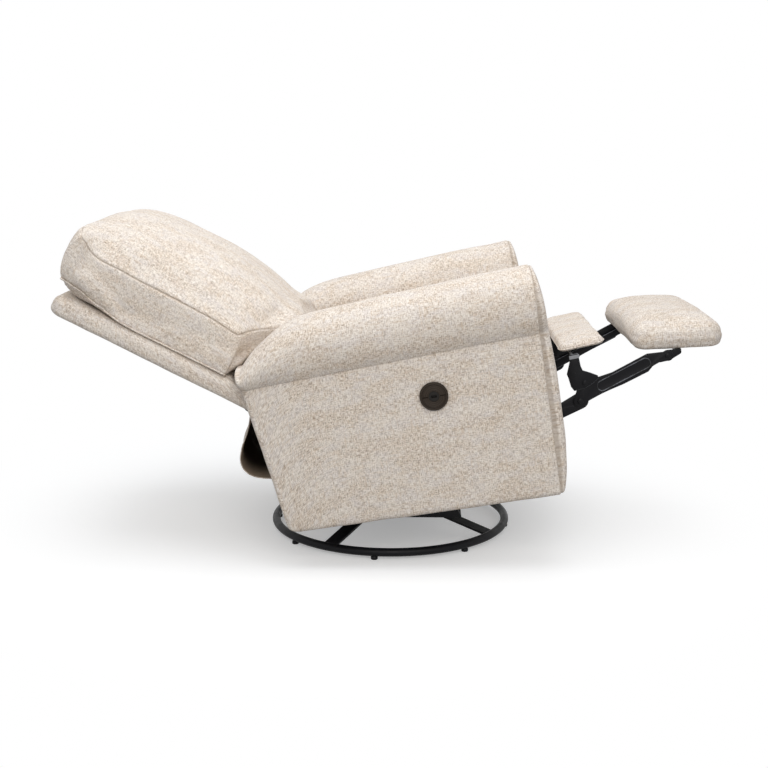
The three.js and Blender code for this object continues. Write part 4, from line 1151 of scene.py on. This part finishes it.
def make_flap():
    """Cloth sling that closes the gap under the reclined back, with soft vertical folds."""
    rows, columns = 40, 72
    path = smooth_line(FLAP_LINE, rows)
    tangent = np.gradient(path, axis=0)
    tangent /= np.linalg.norm(tangent, axis=1, keepdims=True)
    y = np.linspace(-FLAP_HALF + 1, FLAP_HALF - 1, columns + 1)
    fold = 5.0 * np.sin(y / 31 + 0.8 * np.sin(y / 77))
    swell = np.sin(np.linspace(0, 1, rows + 1) * math.pi) ** 1.2
    offset = swell[:, None] * fold[None, :]
    x = path[:, :1] - tangent[:, 1:] * offset
    z = path[:, 1:] + tangent[:, :1] * offset
    flap = hang_cloth("rear_flap_cloth", x, z, path, y, 6.1, 2.2)[0]
    flap.data.materials.append(painted_flap_shade)
    # Faces that look into the body take the painted shade cloth.
    middle = Vector(LEVEL.world([-290, 0, 300]))
    for polygon in flap.data.polygons:
        away = polygon.center - middle
        away.y = 0
        polygon.material_index = int(away.dot(polygon.normal) < 0)
    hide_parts("rear_flap")
    bend = FLAP_LINE[0], FLAP_LINE[-2]
    finish_cloth(flap, bend)


def make_seat_tuck():
    """Narrow cloth tucked down between the seat and the back, which closes the gap over the frame."""
    rows, columns = 20, 48
    path = smooth_line(TUCK_LINE, rows)
    y = np.linspace(-TUCK_HALF, TUCK_HALF, columns + 1)
    wave = 1.5 * np.sin(y / 23 + np.sin(y / 61))
    swell = np.sin(np.linspace(0, math.pi, rows + 1))
    x = np.broadcast_to(path[:, :1], (rows + 1, columns + 1))
    z = path[:, 1:] + swell[:, None] * wave[None, :]
    tuck, area = hang_cloth("seat_tuck_cloth", x, z, path, y, 7.3, 2)
    bend = TUCK_LINE[1], TUCK_LINE[-1]
    finish_cloth(tuck, bend)


def apply_modifiers(obj):
    """Makes the object's mesh the one that its modifiers give."""
    graph = bpy.context.evaluated_depsgraph_get()
    mesh = bpy.data.meshes.new_from_object(obj.evaluated_get(graph))
    obj.modifiers.clear()
    obj.data = mesh


# Base ring, steel links and control


def lathe(profile):
    """Vertices and faces turned round the local z axis from (radius, z) points in millimetres."""
    turns = np.linspace(0, 2 * math.pi, 24, endpoint=False)
    vertices = [(r * math.cos(t), r * math.sin(t), z) for t in turns for r, z in profile]
    index = numbered(len(turns), len(profile))
    return np.array(vertices) * MM, quads(np.vstack([index, index[:1]]))


def make_base_ring():
    """Smooth floor ring with its small round feet."""
    turns = np.linspace(0, 2 * math.pi, 160, endpoint=False)
    path = np.column_stack([RING_RADIUS * np.cos(turns), RING_RADIUS * np.sin(turns), turns * 0 + RING_Z])
    parts = [tube(path * MM, RING_TUBE * MM, 20)]
    foot, faces = lathe(FOOT)
    for i in range(FOOT_COUNT):
        turn = math.radians(FOOT_START + 360 * i / FOOT_COUNT)
        parts.append((foot + np.array([math.cos(turn), math.sin(turn), 0]) * RING_RADIUS * MM, faces))
    ring = joined("floor_ring", parts, black_steel)
    sharpen(ring, 40)
    finish_piece(ring, "base", ["base_ring"])


SLOT_FROM = 0.27
SLOT_TO = 0.76
SLOT_HALF = 13
SLOT_RISE = 10
STEEL_ROUND = 1.3
STEEL_NODES = [
    "inner_link_left", "inner_link_right", "outer_link_left", "outer_link_right",
    "rear_outer_link_left", "rear_outer_link_right", "flipper_frame", "footrest_frame",
    "mechanism_rail_left", "mechanism_rail_right",
]


def body_of_node(node):
    bodies = frame["record"]["behaviour"]["bodies"]
    return next(body for body, members in bodies.items() if node in members)


def pivot(body):
    """World place of the joint that carries a body."""
    return np.array(next(joint["pos_m"] for joint in frame["joints"] if joint["child"] == body))


def outer_face(node, side):
    """Y of a node's face on one side of the chair, in metres."""
    low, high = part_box(node)
    return high.y if side > 0 else low.y


def soften_steel(node):
    """Copy of a steel node with its edges rounded, as stamping and enamel leave them."""
    mesh = frame["nodes"][node].data.copy()
    with editing(mesh) as bm:
        bmesh.ops.remove_doubles(bm, verts=bm.verts, dist=0.02 * MM)
        bmesh.ops.dissolve_limit(bm, angle_limit=math.radians(1.5), verts=bm.verts, edges=bm.edges)
    obj = new_object(f"{node}_rounded", mesh)
    bevel = obj.modifiers.new("edges", "BEVEL")
    bevel.width = STEEL_ROUND * MM
    bevel.segments = 2
    bevel.limit_method = "ANGLE"
    bevel.angle_limit = math.radians(40)
    # The rounded edge faces take the painted highlight material.
    bevel.material = 1
    mesh.materials.clear()
    mesh.materials.append(black_steel)
    mesh.materials.append(painted_edge_highlight)
    apply_modifiers(obj)
    sharpen(obj, 35)
    finish_piece(obj, body_of_node(node), [node])


def rivet(place, y, out, radius, height):
    """Domed rivet head facing out along Y, at a y of its own and the x and z of a world place."""
    turns = np.linspace(0, math.pi / 2, 7)
    dome = [(radius * math.cos(turn), height * math.sin(turn)) for turn in turns]
    vertices, faces = lathe([(radius, -0.6)] + dome)
    return vertices[:, [0, 2, 1]] * [1, out, 1] + [place[0], y, place[2]], faces


def make_rivets():
    """Rivet heads of the footrest linkage and its pads."""
    for side, label in SIDES:
        for name, body, node, joint, radius in (
            ("knee_rivet", "foot_outer", f"outer_link_{label}", "foot_outer", 8.5),
            ("pad_rivet", "foot_outer", f"outer_link_{label}", "footrest", 7.5),
            ("flipper_rivet", "flipper", "flipper_frame", "flipper", 7.5),
            ("front_rivet", "chassis", f"mechanism_rail_{label}", "foot_inner", 8.5),
        ):
            head = rivet(pivot(joint), outer_face(node, side), side, radius, 2.6)
            finish_piece(joined(f"{name}_{label}", [head], black_steel), body)


def make_slot_beads():
    """Raised rims round the long stamped slots of the outer links."""
    knee = pivot("foot_outer")
    span = pivot("footrest") - knee
    span[1] = 0
    along = span / np.linalg.norm(span)
    up = np.array([-along[2], 0, along[0]])
    start, end = knee + span * SLOT_FROM, knee + span * SLOT_TO
    turns = np.linspace(-math.pi / 2, math.pi / 2, 13)
    path = [end + SLOT_HALF * MM * (along * math.cos(t) + up * math.sin(t)) for t in turns]
    path += [start - SLOT_HALF * MM * (along * math.cos(t) + up * math.sin(t)) for t in turns]
    path = np.array(path) + up * SLOT_RISE * MM
    for side, label in SIDES:
        path[:, 1] = outer_face(f"outer_link_{label}", side) - side * 0.5 * MM
        # The rims are coloured with the painted edge highlight.
        bead = joined(f"slot_bead_{label}", [tube(path, 1.5 * MM, 8, (0, 1, 0))], painted_edge_highlight)
        finish_piece(bead, "foot_outer")


def make_flipper_tabs():
    """Bent zinc-plated tabs that fix the flipper's pad on its two brackets."""
    for side, label in SIDES:
        face = abs(outer_face("flipper_frame", side)) / MM
        outline = [(-26, 68), (-25, 67), (-3, 67), (0, 69), (0, 75), (-1, 76), (-26, 76)]
        outer = [(x, side * (face + 1.6), z) for x, z in outline]
        inner = [(x, side * (face + 0.1), z) for x, z in outline]
        count = len(outline)
        faces = [list(range(count)), list(range(count, 2 * count))[::-1]]
        faces += [[i, (i + 1) % count, (i + 1) % count + count, i + count] for i in range(count)]
        tab = joined(f"flipper_tab_{label}", [(FLIPPER.world(outer + inner), faces)], bright_steel)
        sharpen(tab, 30)
        finish_piece(tab, "flipper")


# Stage, lights and camera

FLOOR_HALF = 40.0


def make_stage():
    """White floor that keeps the shadow, even soft light, and the camera of the photograph."""
    scene = bpy.context.scene
    mesh = bpy.data.meshes.new("floor")
    corners = [(x * FLOOR_HALF, y * FLOOR_HALF, 0) for x, y in ((-1, -1), (1, -1), (1, 1), (-1, 1))]
    mesh.from_pydata(corners, [], [[0, 1, 2, 3]])
    s = Shader("floor")
    s.set(Base_Color=(0.82, 0.82, 0.82, 1), Roughness=1.0, Specular_IOR_Level=0.0)
    glow = s.node("ShaderNodeEmission", [("Strength", 0.30)])
    both = s.node("ShaderNodeAddShader", [(0, s.surface.outputs[0]), (1, glow.outputs[0])])
    white = s.node("ShaderNodeEmission")
    far = s.ramp(s.reach((-0.12, 0.12, 0)), 0.45, 1.25)
    fade = s.choose(far, both.outputs[0], white.outputs[0])
    bounce = s.node("ShaderNodeBsdfDiffuse", [("Color", (0.38, 0.38, 0.38, 1))])
    s.link(s.choose(s.seen(), bounce.outputs[0], fade), s.output.inputs[0])
    mesh.materials.append(s.material)
    new_object("floor", mesh)

    scene.world = bpy.data.worlds.new("studio")
    w = Nodes(scene.world, "ShaderNodeOutputWorld")
    light = w.node("ShaderNodeBackground", [("Color", (0.96, 0.98, 1.0, 1)), ("Strength", 0.62)])
    white = w.node("ShaderNodeBackground", [("Color", (1, 1, 1, 1)), ("Strength", 1.0)])
    w.link(w.choose(w.seen(), light.outputs[0], white.outputs[0]), w.output.inputs[0])

    for name, place, aim, size, power, tint in (
        ("overhead", (-0.1, -0.3, 2.6), (-0.05, 0.0, 0.3), 2.2, 32, (0.97, 0.98, 1.0)),
        ("front_key", (0.3, -3.2, 1.9), (0.0, 0.0, 0.4), 1.8, 36, (1.0, 0.965, 0.925)),
    ):
        data = bpy.data.lights.new(name, "AREA")
        data.size = size
        data.energy = power
        data.color = tint
        lamp = new_object(name, data)
        lamp.location = place
        lamp.rotation_euler = (Vector(aim) - Vector(place)).to_track_quat("-Z", "Y").to_euler()

    data = bpy.data.cameras.new("photo_camera")
    data.sensor_width = 36
    data.lens = 58.08
    camera = new_object("photo_camera", data)
    camera.location = (0.060, -3.335, 1.072)
    camera.rotation_euler = (math.radians(78.5), 0, math.radians(1.34))
    scene.camera = camera
    scene.view_settings.view_transform = "Standard"


make_stage()
for arm_side, arm_label in SIDES:
    make_arm(arm_side, arm_label)
make_back_shell()
make_back_cushion()
make_seat_cushion()
make_pad("footrest", PAD, (-81, 140, 261), (14.9, 59, 21), (42, 26, 14), 0.5, 3)
make_pad("flipper", FLIPPER, (-42, 72, 229), (80.9, 18, 8), (22, 10, 6), 0.9, 2)
make_flap()
make_seat_tuck()
make_base_ring()
for steel_node in STEEL_NODES:
    soften_steel(steel_node)
make_rivets()
make_slot_beads()
make_flipper_tabs()
